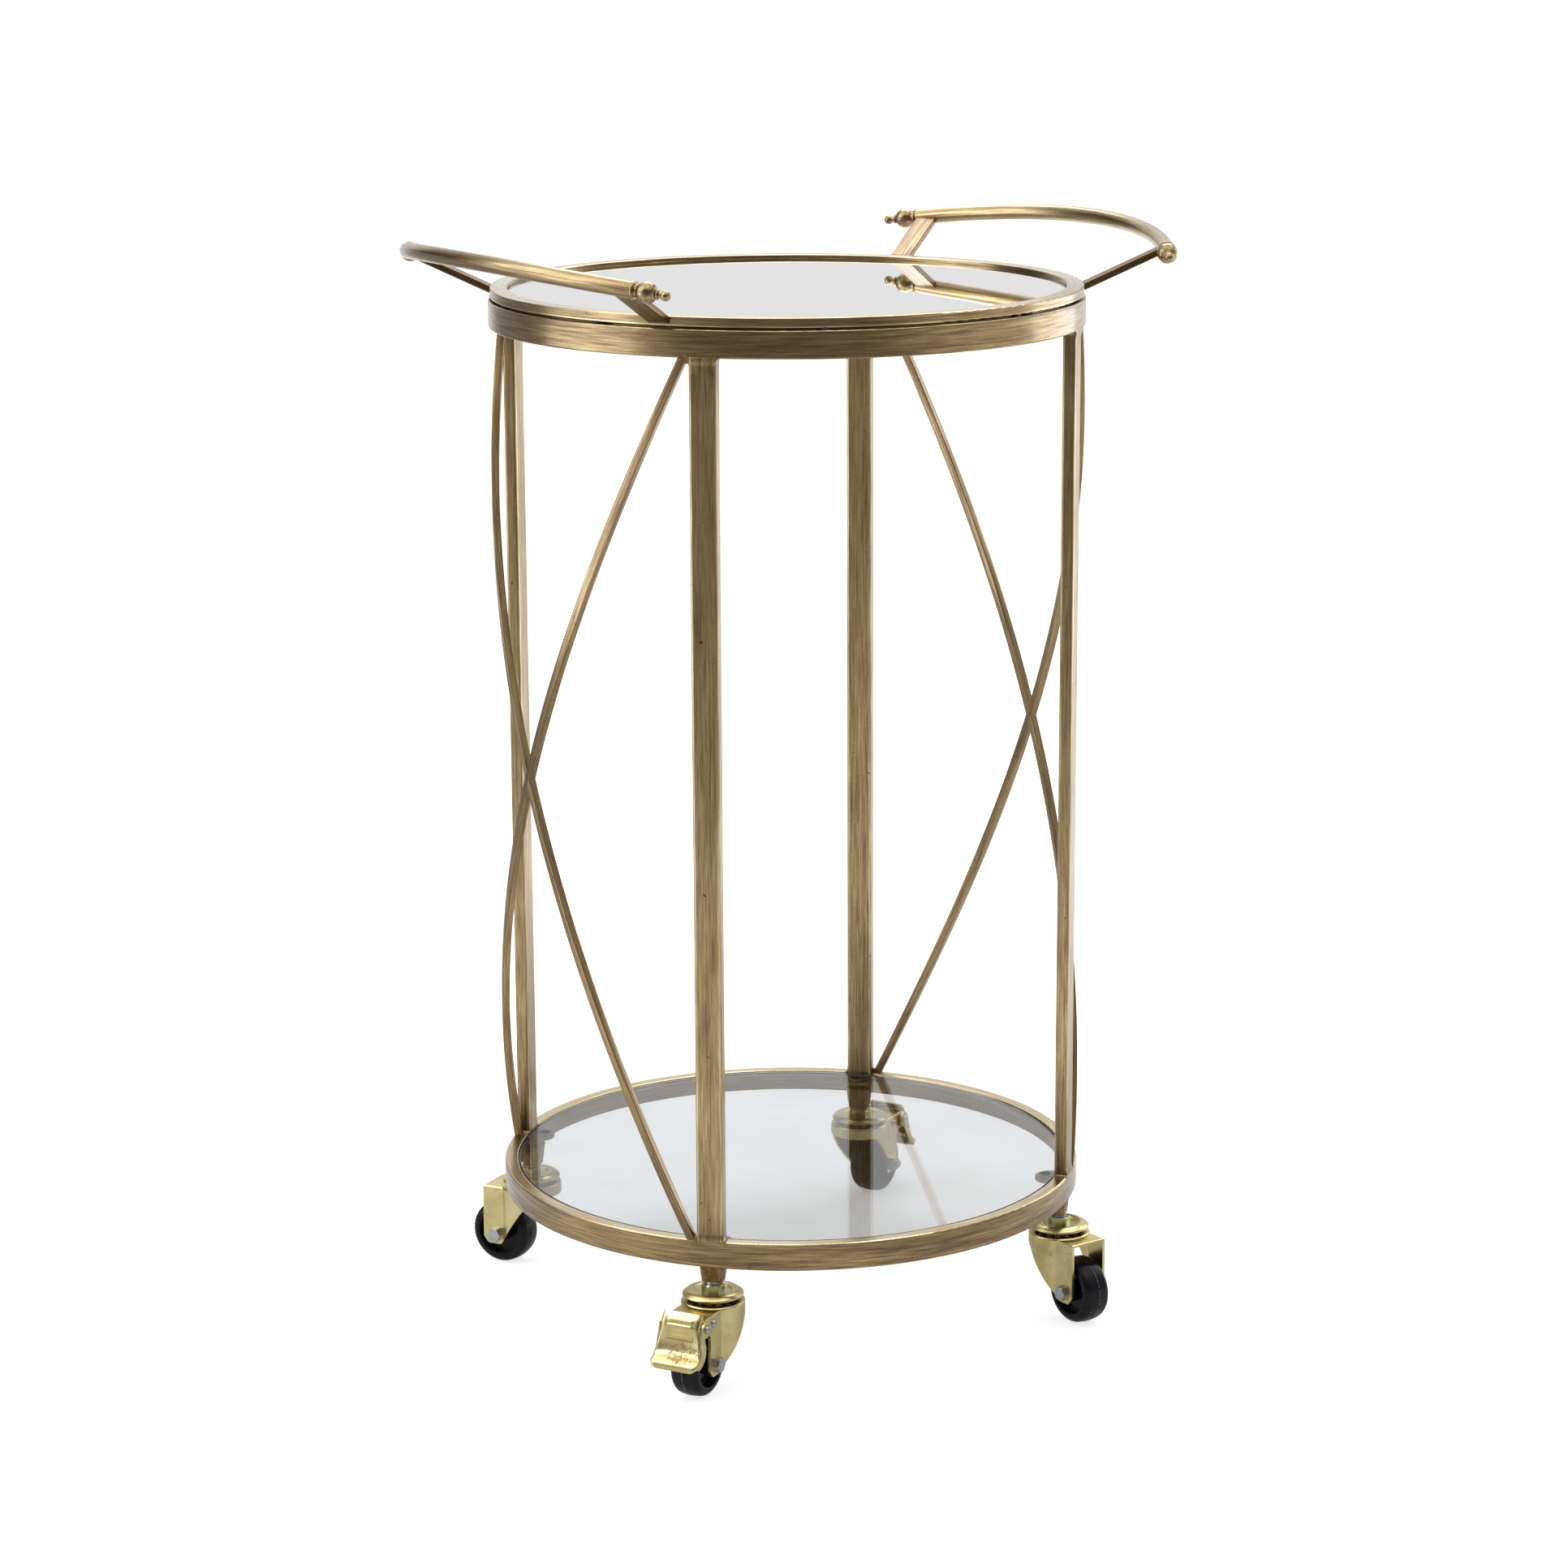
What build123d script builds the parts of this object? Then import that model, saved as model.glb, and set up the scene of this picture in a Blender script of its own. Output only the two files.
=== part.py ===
from build123d import *
import math
import os

# Round two-tier bar cart on four swivel casters. Millimetres, +Z up.
# The origin is on the floor, on the cart's vertical centre line.
# +X and -X are the handle sides, -Y is the front.

# --- frame -----------------------------------------------------------------
RING_RADIUS = 220.0          # outer radius of both rings of the frame
RING_DEPTH = 10.0            # radial thickness of the ring bar
RING_HEIGHT = 20.0
RING_EDGE = 1.2              # rounding of the ring bar's edges
LOW_RING_Z = 91.0            # underside of the lower ring
TOP_RING_Z = 751.0           # underside of the upper ring
LEG_WIDTH = 20.0             # along the ring
LEG_DEPTH = 9.8              # radial
LEG_WALL = 1.2
LEG_EDGE = 2.0
LEG_FACE_RADIUS = 219.2      # outer face of a leg
BRACE_BAR = 6.0              # square bar
BRACE_GAP = 14.0             # from a leg's centre line to a brace's end, along the ring

# --- shelf -----------------------------------------------------------------
GLASS_THICKNESS = 5.0
GLASS_RADIUS = 209.2
GLASS_DROP = 0.5             # glass top below the ring's top
BUMPER_RADIUS = 5.2
BUMPER_HEIGHT = 1.5
BUMPER_CENTRE = 200.5        # from the cart's axis
TAB_RADIUS = 13.0
TAB_CENTRE = 206.0
TAB_THICKNESS = 2.5

# --- tray ------------------------------------------------------------------
TRAY_TURN = 3.6              # the loose tray sits turned by this angle, degrees
PAD_HEIGHT = 1.5             # rubber pads between the upper ring and the tray
PAD_RADIUS = 4.0
PAD_COUNT = 8
TRAY_RADIUS = 218.7
TRAY_INNER_RADIUS = 205.7
TRAY_HEIGHT = 7.0
TRAY_GROOVE = 0.5            # decorative line round the tray's side
TRAY_GROOVE_Z = 1.9          # above the tray's underside
PAN_THICKNESS = 1.0
MIRROR_THICKNESS = 3.0
MIRROR_RADIUS = 205.2
LIP_OUTER_RADIUS = 209.0     # locating lip that drops inside the upper ring
LIP_WALL = 1.5
LIP_HEIGHT = 6.5

# --- handles ---------------------------------------------------------------
HANDLE_TUBE_RADIUS = 6.0
HANDLE_REACH = 221.9         # chord between the finial balls, from the cart's axis
HANDLE_RISE = 22.7           # finial balls above the tray's top
HANDLE_TILT = 12.5           # the arc's plane rises outwards, degrees
HANDLE_BEND = 284.6          # centre-line radius of the arc
HANDLE_HALF_CHORD = 168.3
BRACKET_WIDTH = 16.0
BRACKET_THICKNESS = 5.0
BRACKET_ANGLE = 33.0         # from the X axis
FINIAL_BALL_RADIUS = 7.7
FINIAL_BALL_OFFSET = 10.5    # tube end to ball centre
FINIAL_TIP_OFFSET = 13.9     # ball centre to tip ball centre
FINIAL_TIP_RADIUS = 3.65
FINIAL_STUD_RADIUS = 2.5
FINIAL_STUD_LENGTH = 8.0

# --- casters ---------------------------------------------------------------
CASTER_RADIUS = 212.0        # swivel axis from the cart's axis
WHEEL_RADIUS = 25.0
WHEEL_WIDTH = 22.0
HUB_WIDTH = 25.0
HUB_RADIUS = 8.0
WHEEL_RECESS_RADIUS = 17.6
WHEEL_RECESS_DEPTH = 6.0
CASTER_TRAIL = 24.5          # swivel axis to wheel axle
FORK_TOP = 65.5
FORK_DISC_RADIUS = 23.4
FORK_PLATE = 2.5
FORK_STEP = 0.9              # the raised round top above the flat plate behind it
FORK_BEND = 5.0              # where the round front runs into the flat sides
FORK_WALL = 2.2
FORK_HALF_WIDTH = 16.0
FORK_REACH = 35.0            # rear edge of the fork from the swivel axis
FORK_SKIRT_Z = 56.5
FORK_FOOT_Z = 17.3
CAP_RADIUS = 22.4
CAP_BOTTOM = 68.2
CAP_CROWN = 72.6
STEM_RADIUS = 5.0
SPIGOT_RADIUS = 3.5          # upper end of the stem, inside the frame's block
NUT_ACROSS_FLATS = 14.5
NUT_HEIGHT = 6.0
BALL_RADIUS = 2.0
BALL_CIRCLE = 17.0
BALL_COUNT = 12
BALL_Z = 67.0
RACE_CLEARANCE = 0.3
BOLT_RADIUS = 3.0
BOLT_HEAD_FLATS = 10.0
BOLT_HEAD_HEIGHT = 4.0
SLEEVE_RADIUS = 4.0
RUNNING_CLEARANCE = 0.05
PIVOT_TRAIL = 43.0           # brake pedal's pivot from the swivel axis
PIVOT_Z = 58.0
PIVOT_RADIUS = 2.5
EAR_RADIUS = 6.4             # of the fork round the pedal's pivot
FORK_RIVET_TRAIL = 29.0
PEDAL_HALF_WIDTH = 18.0      # outer faces of the pedal's side flanges
PEDAL_TOP_HALF_WIDTH = 15.6
PEDAL_LIP_HALF_WIDTH = 19.3
PEDAL_SHEET = 1.6
BRAKE_TRAVEL = 18.0          # pedal turn from released to locked, degrees
BRAKE_GAP = 0.3              # shoe to wheel when locked

# Corner name: (leg angle, direction the wheel trails, side of the bolt head, has a brake).
CORNERS = {
    "front_left": (225.0, 213.5, 1, True),
    "front_right": (-45.0, -84.0, -1, False),
    "back_left": (135.0, 124.0, 1, False),
    "back_right": (45.0, 30.0, 1, True),
}

LOW_RING_TOP = LOW_RING_Z + RING_HEIGHT
TOP_RING_TOP = TOP_RING_Z + RING_HEIGHT
RING_CENTRE = RING_RADIUS - RING_DEPTH / 2
GLASS_TOP = LOW_RING_TOP - GLASS_DROP
TAB_TOP = GLASS_TOP - GLASS_THICKNESS - BUMPER_HEIGHT
TRAY_BOTTOM = TOP_RING_TOP + PAD_HEIGHT
TRAY_TOP = TRAY_BOTTOM + TRAY_HEIGHT
HANDLE_Z = TRAY_TOP + HANDLE_RISE
STUB_BOTTOM = LOW_RING_Z - 12.2
NUT_BOTTOM = 70.8
WHEEL_CLEAR_DISTANCE = math.hypot(PIVOT_TRAIL - CASTER_TRAIL, PIVOT_Z - WHEEL_RADIUS)


def ring(outer, inner, low, high, edge):
    """A ring of rectangular section with rounded edges."""
    section = Plane.XZ * Pos((outer + inner) / 2, (low + high) / 2)
    return revolve(section * RectangleRounded(outer - inner, high - low, edge), Axis.Z)


def disc(radius, low, high, edge):
    """A flat disc with small rounded edges."""
    shape = Pos(0, 0, (low + high) / 2) * Cylinder(radius, high - low)
    return fillet(shape.edges(), edge)


def hex_prism(flats, height):
    """A hexagon head or nut, standing on Z = 0, with its corners chamfered at the top."""
    body = extrude(RegularPolygon(flats / 2, 6, major_radius=False), height)
    crown = Pos(0, 0, height / 2) * Cylinder(flats * 0.575, height)
    crown = chamfer(crown.edges().sort_by(Axis.Z)[-1], flats * 0.06)
    return body & crown


# --- frame -----------------------------------------------------------------
def leg(angle):
    """A rectangular tube between the two rings."""
    height = TOP_RING_Z - LOW_RING_TOP
    outside = RectangleRounded(LEG_DEPTH, LEG_WIDTH, LEG_EDGE)
    inside = RectangleRounded(LEG_DEPTH - 2 * LEG_WALL, LEG_WIDTH - 2 * LEG_WALL, LEG_EDGE - LEG_WALL)
    tube = extrude(outside - inside, height)
    return Rot(0, 0, angle) * Pos(LEG_FACE_RADIUS - LEG_DEPTH / 2, 0, LOW_RING_TOP) * tube


def brace(start_angle, span):
    """A square bar that climbs from the lower to the upper ring and follows their curve."""
    height = TOP_RING_Z - LOW_RING_TOP
    radius = RING_RADIUS - BRACE_BAR / 2
    path = Helix(height * 360 / abs(span), height, radius, lefthand=span < 0)
    section = Plane(path @ 0, x_dir=(1, 0, 0), z_dir=path % 0) * Rectangle(BRACE_BAR, BRACE_BAR)
    bar = sweep(section, path, is_frenet=True)
    keep = Pos(0, 0, height / 2) * Box(3 * RING_RADIUS, 3 * RING_RADIUS, height)
    return Rot(0, 0, start_angle) * Pos(0, 0, LOW_RING_TOP) * (bar & keep)


def lap_cut(side_angle, lean, direction):
    """The notch for a bar that leans by this angle, in the outer half (1) or inner half (-1) of the other."""
    notch = Rot(lean, 0, 0) * Box(BRACE_BAR, BRACE_BAR, 6 * BRACE_BAR)
    radius = RING_RADIUS - BRACE_BAR / 2 + direction * BRACE_BAR / 2
    return Rot(0, 0, side_angle) * Pos(radius, 0, (LOW_RING_TOP + TOP_RING_Z) / 2) * notch


def brace_pair(side_angle):
    """Two crossing braces, half-lapped where they meet."""
    half_span = 45 - math.degrees(BRACE_GAP / RING_CENTRE)
    run = math.radians(2 * half_span) * (RING_RADIUS - BRACE_BAR / 2)
    lean = math.degrees(math.atan2(run, TOP_RING_Z - LOW_RING_TOP))
    rising = brace(side_angle - half_span, 2 * half_span) - lap_cut(side_angle, lean, -1)
    falling = brace(side_angle + half_span, -2 * half_span) - lap_cut(side_angle, -lean, 1)
    return rising, falling


def leg_stub(angle):
    """The block under the lower ring that takes a caster's stem."""
    inner_end = 202.0
    outer_end = 219.0
    lap_top = LOW_RING_Z + 4
    length = outer_end - inner_end
    plan = RectangleRounded(length, LEG_WIDTH, 5.5)
    block = extrude(plan, lap_top - STUB_BOTTOM, taper=7.5)
    block = Pos((inner_end + outer_end) / 2, 0, lap_top) * Rot(180, 0, 0) * block
    block -= ring(RING_RADIUS + 5, RING_RADIUS - RING_DEPTH, LOW_RING_Z, lap_top + 5, 0.1)
    bore_top = LOW_RING_Z - 1
    bore = Cylinder(SPIGOT_RADIUS + RUNNING_CLEARANCE, bore_top - STUB_BOTTOM + 2)
    block -= Pos(CASTER_RADIUS, 0, (bore_top + STUB_BOTTOM - 2) / 2) * bore
    return Rot(0, 0, angle) * block


def shelf_tab(angle):
    """A round-ended plate under the glass, welded to the inside of the lower ring."""
    plate = Pos(TAB_CENTRE, 0, TAB_TOP - TAB_THICKNESS / 2) * Cylinder(TAB_RADIUS, TAB_THICKNESS)
    plate &= Pos(0, 0, TAB_TOP) * Cylinder(RING_RADIUS - RING_DEPTH, 4 * TAB_THICKNESS)
    return Rot(0, 0, angle) * plate


def shelf_bumper(angle):
    """A clear domed bumper on a shelf tab."""
    dome = Pos(0, 0, BUMPER_HEIGHT / 2) * Cylinder(BUMPER_RADIUS, BUMPER_HEIGHT)
    dome = fillet(dome.edges().sort_by(Axis.Z)[-1], BUMPER_HEIGHT * 0.6)
    return Rot(0, 0, angle) * Pos(BUMPER_CENTRE, 0, TAB_TOP) * dome


def tray_pad(angle):
    """A small rubber pad on top of the upper ring."""
    pad = Pos(0, 0, PAD_HEIGHT / 2) * Cylinder(PAD_RADIUS, PAD_HEIGHT)
    return Rot(0, 0, angle) * Pos(RING_CENTRE, 0, TOP_RING_TOP) * pad


# --- tray ------------------------------------------------------------------
def tray_ring():
    """The tray's rim, with a fine groove round its side."""
    rim = ring(TRAY_RADIUS, TRAY_INNER_RADIUS, TRAY_BOTTOM, TRAY_TOP, 0.8)
    groove_z = TRAY_BOTTOM + TRAY_GROOVE_Z
    rim -= ring(TRAY_RADIUS + 5, TRAY_RADIUS - TRAY_GROOVE, groove_z - 0.35, groove_z + 0.35, 0.2)
    return rim


def tray_lip():
    """A short skirt under the rim that centres the tray in the upper ring."""
    return ring(LIP_OUTER_RADIUS, LIP_OUTER_RADIUS - LIP_WALL, TRAY_BOTTOM - LIP_HEIGHT, TRAY_BOTTOM, 0.3)


# --- handles, drawn on the +X side before the tray's turn --------------------
HANDLE_PLANE = Plane(
    origin=(HANDLE_REACH, 0, HANDLE_Z),
    x_dir=(math.cos(math.radians(HANDLE_TILT)), 0, math.sin(math.radians(HANDLE_TILT))),
    z_dir=(-math.sin(math.radians(HANDLE_TILT)), 0, math.cos(math.radians(HANDLE_TILT))),
)
BALL_ANGLE = math.degrees(math.asin(HANDLE_HALF_CHORD / HANDLE_BEND))
TUBE_ANGLE = BALL_ANGLE - math.degrees(FINIAL_BALL_OFFSET / HANDLE_BEND)
BEND_CENTRE = -HANDLE_BEND * math.cos(math.radians(BALL_ANGLE))


def on_handle(angle, shape):
    """Puts a shape at an angle along the handle's arc, its Z axis along the arc's tangent."""
    turn = math.radians(angle)
    point = (BEND_CENTRE + HANDLE_BEND * math.cos(turn), HANDLE_BEND * math.sin(turn), 0)
    tangent = (-math.sin(turn), math.cos(turn), 0)
    spot = Plane(origin=point, x_dir=(0, 0, 1), z_dir=tangent)
    return HANDLE_PLANE.location * spot.location * shape


def handle_bar():
    """The bent grip, drilled at both ends for the finials' studs."""
    section = on_handle_section(HANDLE_TUBE_RADIUS)
    bar = HANDLE_PLANE.location * Pos(BEND_CENTRE, 0, 0) * section
    for end in (-1, 1):
        stud = Cylinder(FINIAL_STUD_RADIUS + RUNNING_CLEARANCE, 2 * FINIAL_STUD_LENGTH + 1)
        bar -= on_handle(end * TUBE_ANGLE, stud)
    return bar


def on_handle_section(radius):
    """The grip's round bar about the bend's centre, from end to end."""
    circle = Plane.XZ * Pos(HANDLE_BEND, 0) * Circle(radius)
    return Rot(0, 0, -TUBE_ANGLE) * revolve(circle, Axis.Z, 2 * TUBE_ANGLE)


def finial(end):
    """A turned end knob: collar, ball, bead, tip ball and a stud in the grip."""
    collar = Pos(0, 0, 1.0) * Cylinder(6.9, 2.0)
    collar = fillet(collar.edges(), 0.8)
    neck = Pos(0, 0, 2.5) * Cylinder(4.8, 3.0)
    ball = Pos(0, 0, FINIAL_BALL_OFFSET) * Sphere(FINIAL_BALL_RADIUS)
    bead_z = FINIAL_BALL_OFFSET + FINIAL_BALL_RADIUS - 0.2
    bead = Pos(0, 0, bead_z + 0.8) * Cylinder(3.7, 1.8)
    bead = fillet(bead.edges(), 0.8)
    tip_z = FINIAL_BALL_OFFSET + FINIAL_TIP_OFFSET
    stalk = Pos(0, 0, (bead_z + tip_z) / 2) * Cylinder(2.2, tip_z - bead_z)
    tip = Pos(0, 0, tip_z) * Sphere(FINIAL_TIP_RADIUS)
    stud = Pos(0, 0, -FINIAL_STUD_LENGTH / 2) * Cylinder(FINIAL_STUD_RADIUS, FINIAL_STUD_LENGTH)
    knob = collar + neck + ball + bead + stalk + tip + stud
    if end < 0:
        knob = Rot(180, 0, 0) * knob
    return on_handle(end * TUBE_ANGLE, knob)


def bracket(end, grip):
    """A flat bar from the tray's side up to the grip, cut to fit both."""
    foot = (TRAY_RADIUS - 2, TRAY_BOTTOM + TRAY_HEIGHT / 2)
    along = HANDLE_HALF_CHORD - 8
    grip_x = HANDLE_REACH + (math.sqrt(HANDLE_BEND ** 2 - along ** 2) + BEND_CENTRE)
    head = (math.hypot(grip_x, along), HANDLE_Z + 2.2)
    run = math.hypot(head[0] - foot[0], head[1] - foot[1])
    slope = math.degrees(math.atan2(head[1] - foot[1], head[0] - foot[0]))
    plate = Pos(run / 2, 0, 0) * Box(run, BRACKET_WIDTH, BRACKET_THICKNESS)
    plate = fillet(plate.edges().filter_by(Axis.X), 0.8)
    plate = Pos(foot[0], 0, foot[1]) * Rot(0, -slope, 0) * plate
    plate = Rot(0, 0, end * BRACKET_ANGLE) * plate
    inside_tray = Pos(0, 0, TRAY_TOP) * Cylinder(TRAY_RADIUS, 6 * TRAY_HEIGHT)
    fitted = plate - inside_tray - grip
    return fitted.solids().sort_by(SortBy.VOLUME)[-1]


# --- caster, drawn with its swivel axis on Z and its wheel trailing along +X ---
def across(trail, height, radius, low, high):
    """A round bar along the axle's direction, from Y = low to Y = high."""
    bar = Rot(90, 0, 0) * Cylinder(radius, high - low)
    return Pos(trail, (low + high) / 2, height) * bar


def rounded_face(corners):
    """A polygon drawn in X-Z; each corner is its x, its z and its rounding radius."""
    face = make_face(Polyline(*[corner[:2] for corner in corners], close=True))
    for x, z, radius in corners:
        if radius > 0:
            face = fillet(face.vertices().sort_by_distance((x, z))[0], radius)
    return face


def side_plate(face, low, high):
    """A face drawn in the X-Z plane and thickened from Y = low to Y = high."""
    return Pos(0, high, 0) * extrude(Plane.XZ * face, high - low)


def race():
    """The ball race between the cap and the fork."""
    return Pos(0, 0, BALL_Z) * Torus(BALL_CIRCLE, BALL_RADIUS + RACE_CLEARANCE)


def swivel_cap():
    """The dished cap that is clamped under the stem's nut."""
    with BuildSketch(Plane.XZ) as profile:
        with BuildLine():
            hole = STEM_RADIUS + RUNNING_CLEARANCE
            rim = Spline(
                (CAP_RADIUS, CAP_BOTTOM + 1.0),
                (CAP_RADIUS - 0.9, CAP_BOTTOM + 2.6),
                (CAP_RADIUS - 4.5, CAP_CROWN),
                (CAP_RADIUS - 9.0, CAP_CROWN - 0.9),
                (CAP_RADIUS - 12.0, NUT_BOTTOM),
                tangents=((0, 1), (-1, 0)),
            )
            Polyline(rim @ 1, (hole, NUT_BOTTOM), (hole, CAP_BOTTOM), (CAP_RADIUS - 1, CAP_BOTTOM))
            Line((CAP_RADIUS - 1, CAP_BOTTOM), rim @ 0)
        make_face()
    return revolve(profile.sketch, Axis.Z) - race()


def caster_stem():
    """The fixed kingpin: head under the fork's plate, shank through the cap, spigot in the block."""
    top = LOW_RING_Z - 1.4
    bottom = FORK_TOP - FORK_PLATE - 3.0
    shank = Pos(0, 0, (STUB_BOTTOM + bottom) / 2) * Cylinder(STEM_RADIUS, STUB_BOTTOM - bottom)
    spigot = Pos(0, 0, (top + bottom) / 2) * Cylinder(SPIGOT_RADIUS, top - bottom)
    spigot = chamfer(spigot.edges().sort_by(Axis.Z)[-1], 0.8)
    head = Pos(0, 0, bottom + 1.3) * Cylinder(8.5, 2.4)
    return shank + spigot + fillet(head.edges(), 0.5)


def swivel_balls():
    """The ring of balls between the cap and the fork."""
    balls = []
    for index in range(BALL_COUNT):
        balls.append(Rot(0, 0, index * 360 / BALL_COUNT) * Pos(BALL_CIRCLE, 0, BALL_Z) * Sphere(BALL_RADIUS))
    return balls


def fork_plan(disc_radius, half_width, reach, bend):
    """The fork seen from above: a disc that runs into a straight-sided tail."""
    plan = Circle(disc_radius) + Pos(reach / 2, 0) * Rectangle(reach, 2 * half_width)
    meeting = math.sqrt(disc_radius ** 2 - half_width ** 2)
    for side in (-1, 1):
        plan = fillet(plan.vertices().sort_by_distance((meeting, side * half_width))[0], bend)
    return plan


def fork(braked):
    """A stamped fork: round top, skirt round the front, and two legs down to the axle."""
    reach = PIVOT_TRAIL + 8 if braked else FORK_REACH
    tail_top = FORK_TOP - FORK_STEP
    slot_half_width = FORK_HALF_WIDTH - FORK_WALL
    shell = extrude(fork_plan(FORK_DISC_RADIUS, FORK_HALF_WIDTH, reach, FORK_BEND), tail_top - FORK_FOOT_Z)
    shell = Pos(0, 0, FORK_FOOT_Z) * fillet(shell.edges().group_by(Axis.Z)[-1], 1.5)
    crown = Pos(0, 0, FORK_TOP - 4) * Cylinder(FORK_DISC_RADIUS, 8)
    crown = fillet(crown.edges().sort_by(Axis.Z)[-1], 1.8)
    hollow_plan = fork_plan(FORK_DISC_RADIUS - FORK_WALL, slot_half_width, 2 * reach, FORK_BEND + FORK_WALL)
    hollow = extrude(hollow_plan, FORK_TOP - FORK_PLATE)
    outline = [
        (-30, FORK_SKIRT_Z, 0), (-9, FORK_SKIRT_Z, 9), (19.5, FORK_FOOT_Z, 3), (31, FORK_FOOT_Z, 3),
    ]
    if braked:
        outline += [(FORK_REACH, 22.5, 3), (33.4, PIVOT_Z - EAR_RADIUS, 5)]
        outline += [(PIVOT_TRAIL, PIVOT_Z - EAR_RADIUS, 0), (PIVOT_TRAIL, PIVOT_Z + EAR_RADIUS, 0)]
        outline += [(FORK_REACH, 70, 0)]
    else:
        outline += [(FORK_REACH, 22.5, 3), (FORK_REACH, 70, 0)]
    outline += [(-30, 70, 0)]
    side_view = rounded_face(outline)
    if braked:
        side_view += Pos(PIVOT_TRAIL, PIVOT_Z) * Circle(EAR_RADIUS)
    body = (shell + crown - hollow) & side_plate(side_view, -30, 30)
    body -= race()
    body -= Pos(0, 0, FORK_TOP) * Cylinder(STEM_RADIUS + RUNNING_CLEARANCE, 4 * FORK_PLATE)
    body -= across(CASTER_TRAIL, WHEEL_RADIUS, BOLT_RADIUS + RUNNING_CLEARANCE, -30, 30)
    if braked:
        body -= Pos(FORK_REACH + 20, 0, FORK_TOP) * Box(40, 2 * slot_half_width, 20)
        body -= across(PIVOT_TRAIL, PIVOT_Z, PIVOT_RADIUS, -30, 30)
        body -= across(FORK_RIVET_TRAIL, PIVOT_Z, PIVOT_RADIUS, -30, 30)
    return body


def wheel():
    """A solid wheel with a crowned tread, recessed sides and a plain bore."""
    half = WHEEL_WIDTH / 2
    with BuildSketch(Plane.XZ) as profile:
        with BuildLine():
            floor_in = half - WHEEL_RECESS_DEPTH
            edge_r = WHEEL_RADIUS - 5.0
            shoulder = WHEEL_RADIUS - 0.5
            tread = ThreePointArc((shoulder, -half + 5.5), (WHEEL_RADIUS, 0), (shoulder, half - 5.5))
            top = ThreePointArc(tread @ 1, (WHEEL_RADIUS - 2.0, half - 1.6), (edge_r, half))
            bottom = ThreePointArc((edge_r, -half), (WHEEL_RADIUS - 2.0, -half + 1.6), tread @ 0)
            bore = SLEEVE_RADIUS + RUNNING_CLEARANCE
            upper = [(WHEEL_RECESS_RADIUS, half), (WHEEL_RECESS_RADIUS - 1.5, floor_in)]
            upper += [(HUB_RADIUS + 0.5, floor_in), (HUB_RADIUS, HUB_WIDTH / 2), (bore, HUB_WIDTH / 2)]
            lower = [(r, -z) for r, z in reversed(upper)]
            Polyline(top @ 1, *upper, *lower, bottom @ 0)
        make_face()
    turned = revolve(profile.sketch, Axis.Z)
    return Pos(CASTER_TRAIL, 0, WHEEL_RADIUS) * Rot(90, 0, 0) * turned


def axle_sleeve():
    """The spacer tube clamped between the fork's legs, on which the wheel turns."""
    half = FORK_HALF_WIDTH - FORK_WALL
    tube = across(CASTER_TRAIL, WHEEL_RADIUS, SLEEVE_RADIUS, -half, half)
    return tube - across(CASTER_TRAIL, WHEEL_RADIUS, BOLT_RADIUS + RUNNING_CLEARANCE, -half, half)


def axle_bolt(side):
    """A hexagon bolt; side says which leg its head is on."""
    shank = across(CASTER_TRAIL, WHEEL_RADIUS, BOLT_RADIUS, -FORK_HALF_WIDTH - 7.5, FORK_HALF_WIDTH + 0.5)
    head = Pos(CASTER_TRAIL, FORK_HALF_WIDTH, WHEEL_RADIUS) * Rot(-90, 0, 0)
    bolt = shank + head * hex_prism(BOLT_HEAD_FLATS, BOLT_HEAD_HEIGHT)
    return mirror(bolt, Plane.XZ) if side < 0 else bolt


def axle_nut(side):
    """The nut on the bolt's far end."""
    nut = hex_prism(BOLT_HEAD_FLATS, 5.0) - Cylinder(BOLT_RADIUS, 20)
    nut = Pos(CASTER_TRAIL, -FORK_HALF_WIDTH, WHEEL_RADIUS) * Rot(90, 0, 0) * nut
    return mirror(nut, Plane.XZ) if side < 0 else nut


def rivet(trail, grip):
    """A domed rivet right across the fork; grip is half the length between its heads."""
    pin = across(trail, PIVOT_Z, PIVOT_RADIUS, -grip, grip)
    for end in (-1, 1):
        head = Pos(0, 0, 0.8) * Cylinder(4.0, 1.6)
        head = fillet(head.edges().sort_by(Axis.Z)[-1], 1.0)
        pin += Pos(trail, end * grip, PIVOT_Z) * Rot(-90 * end, 0, 0) * head
    return pin


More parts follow.
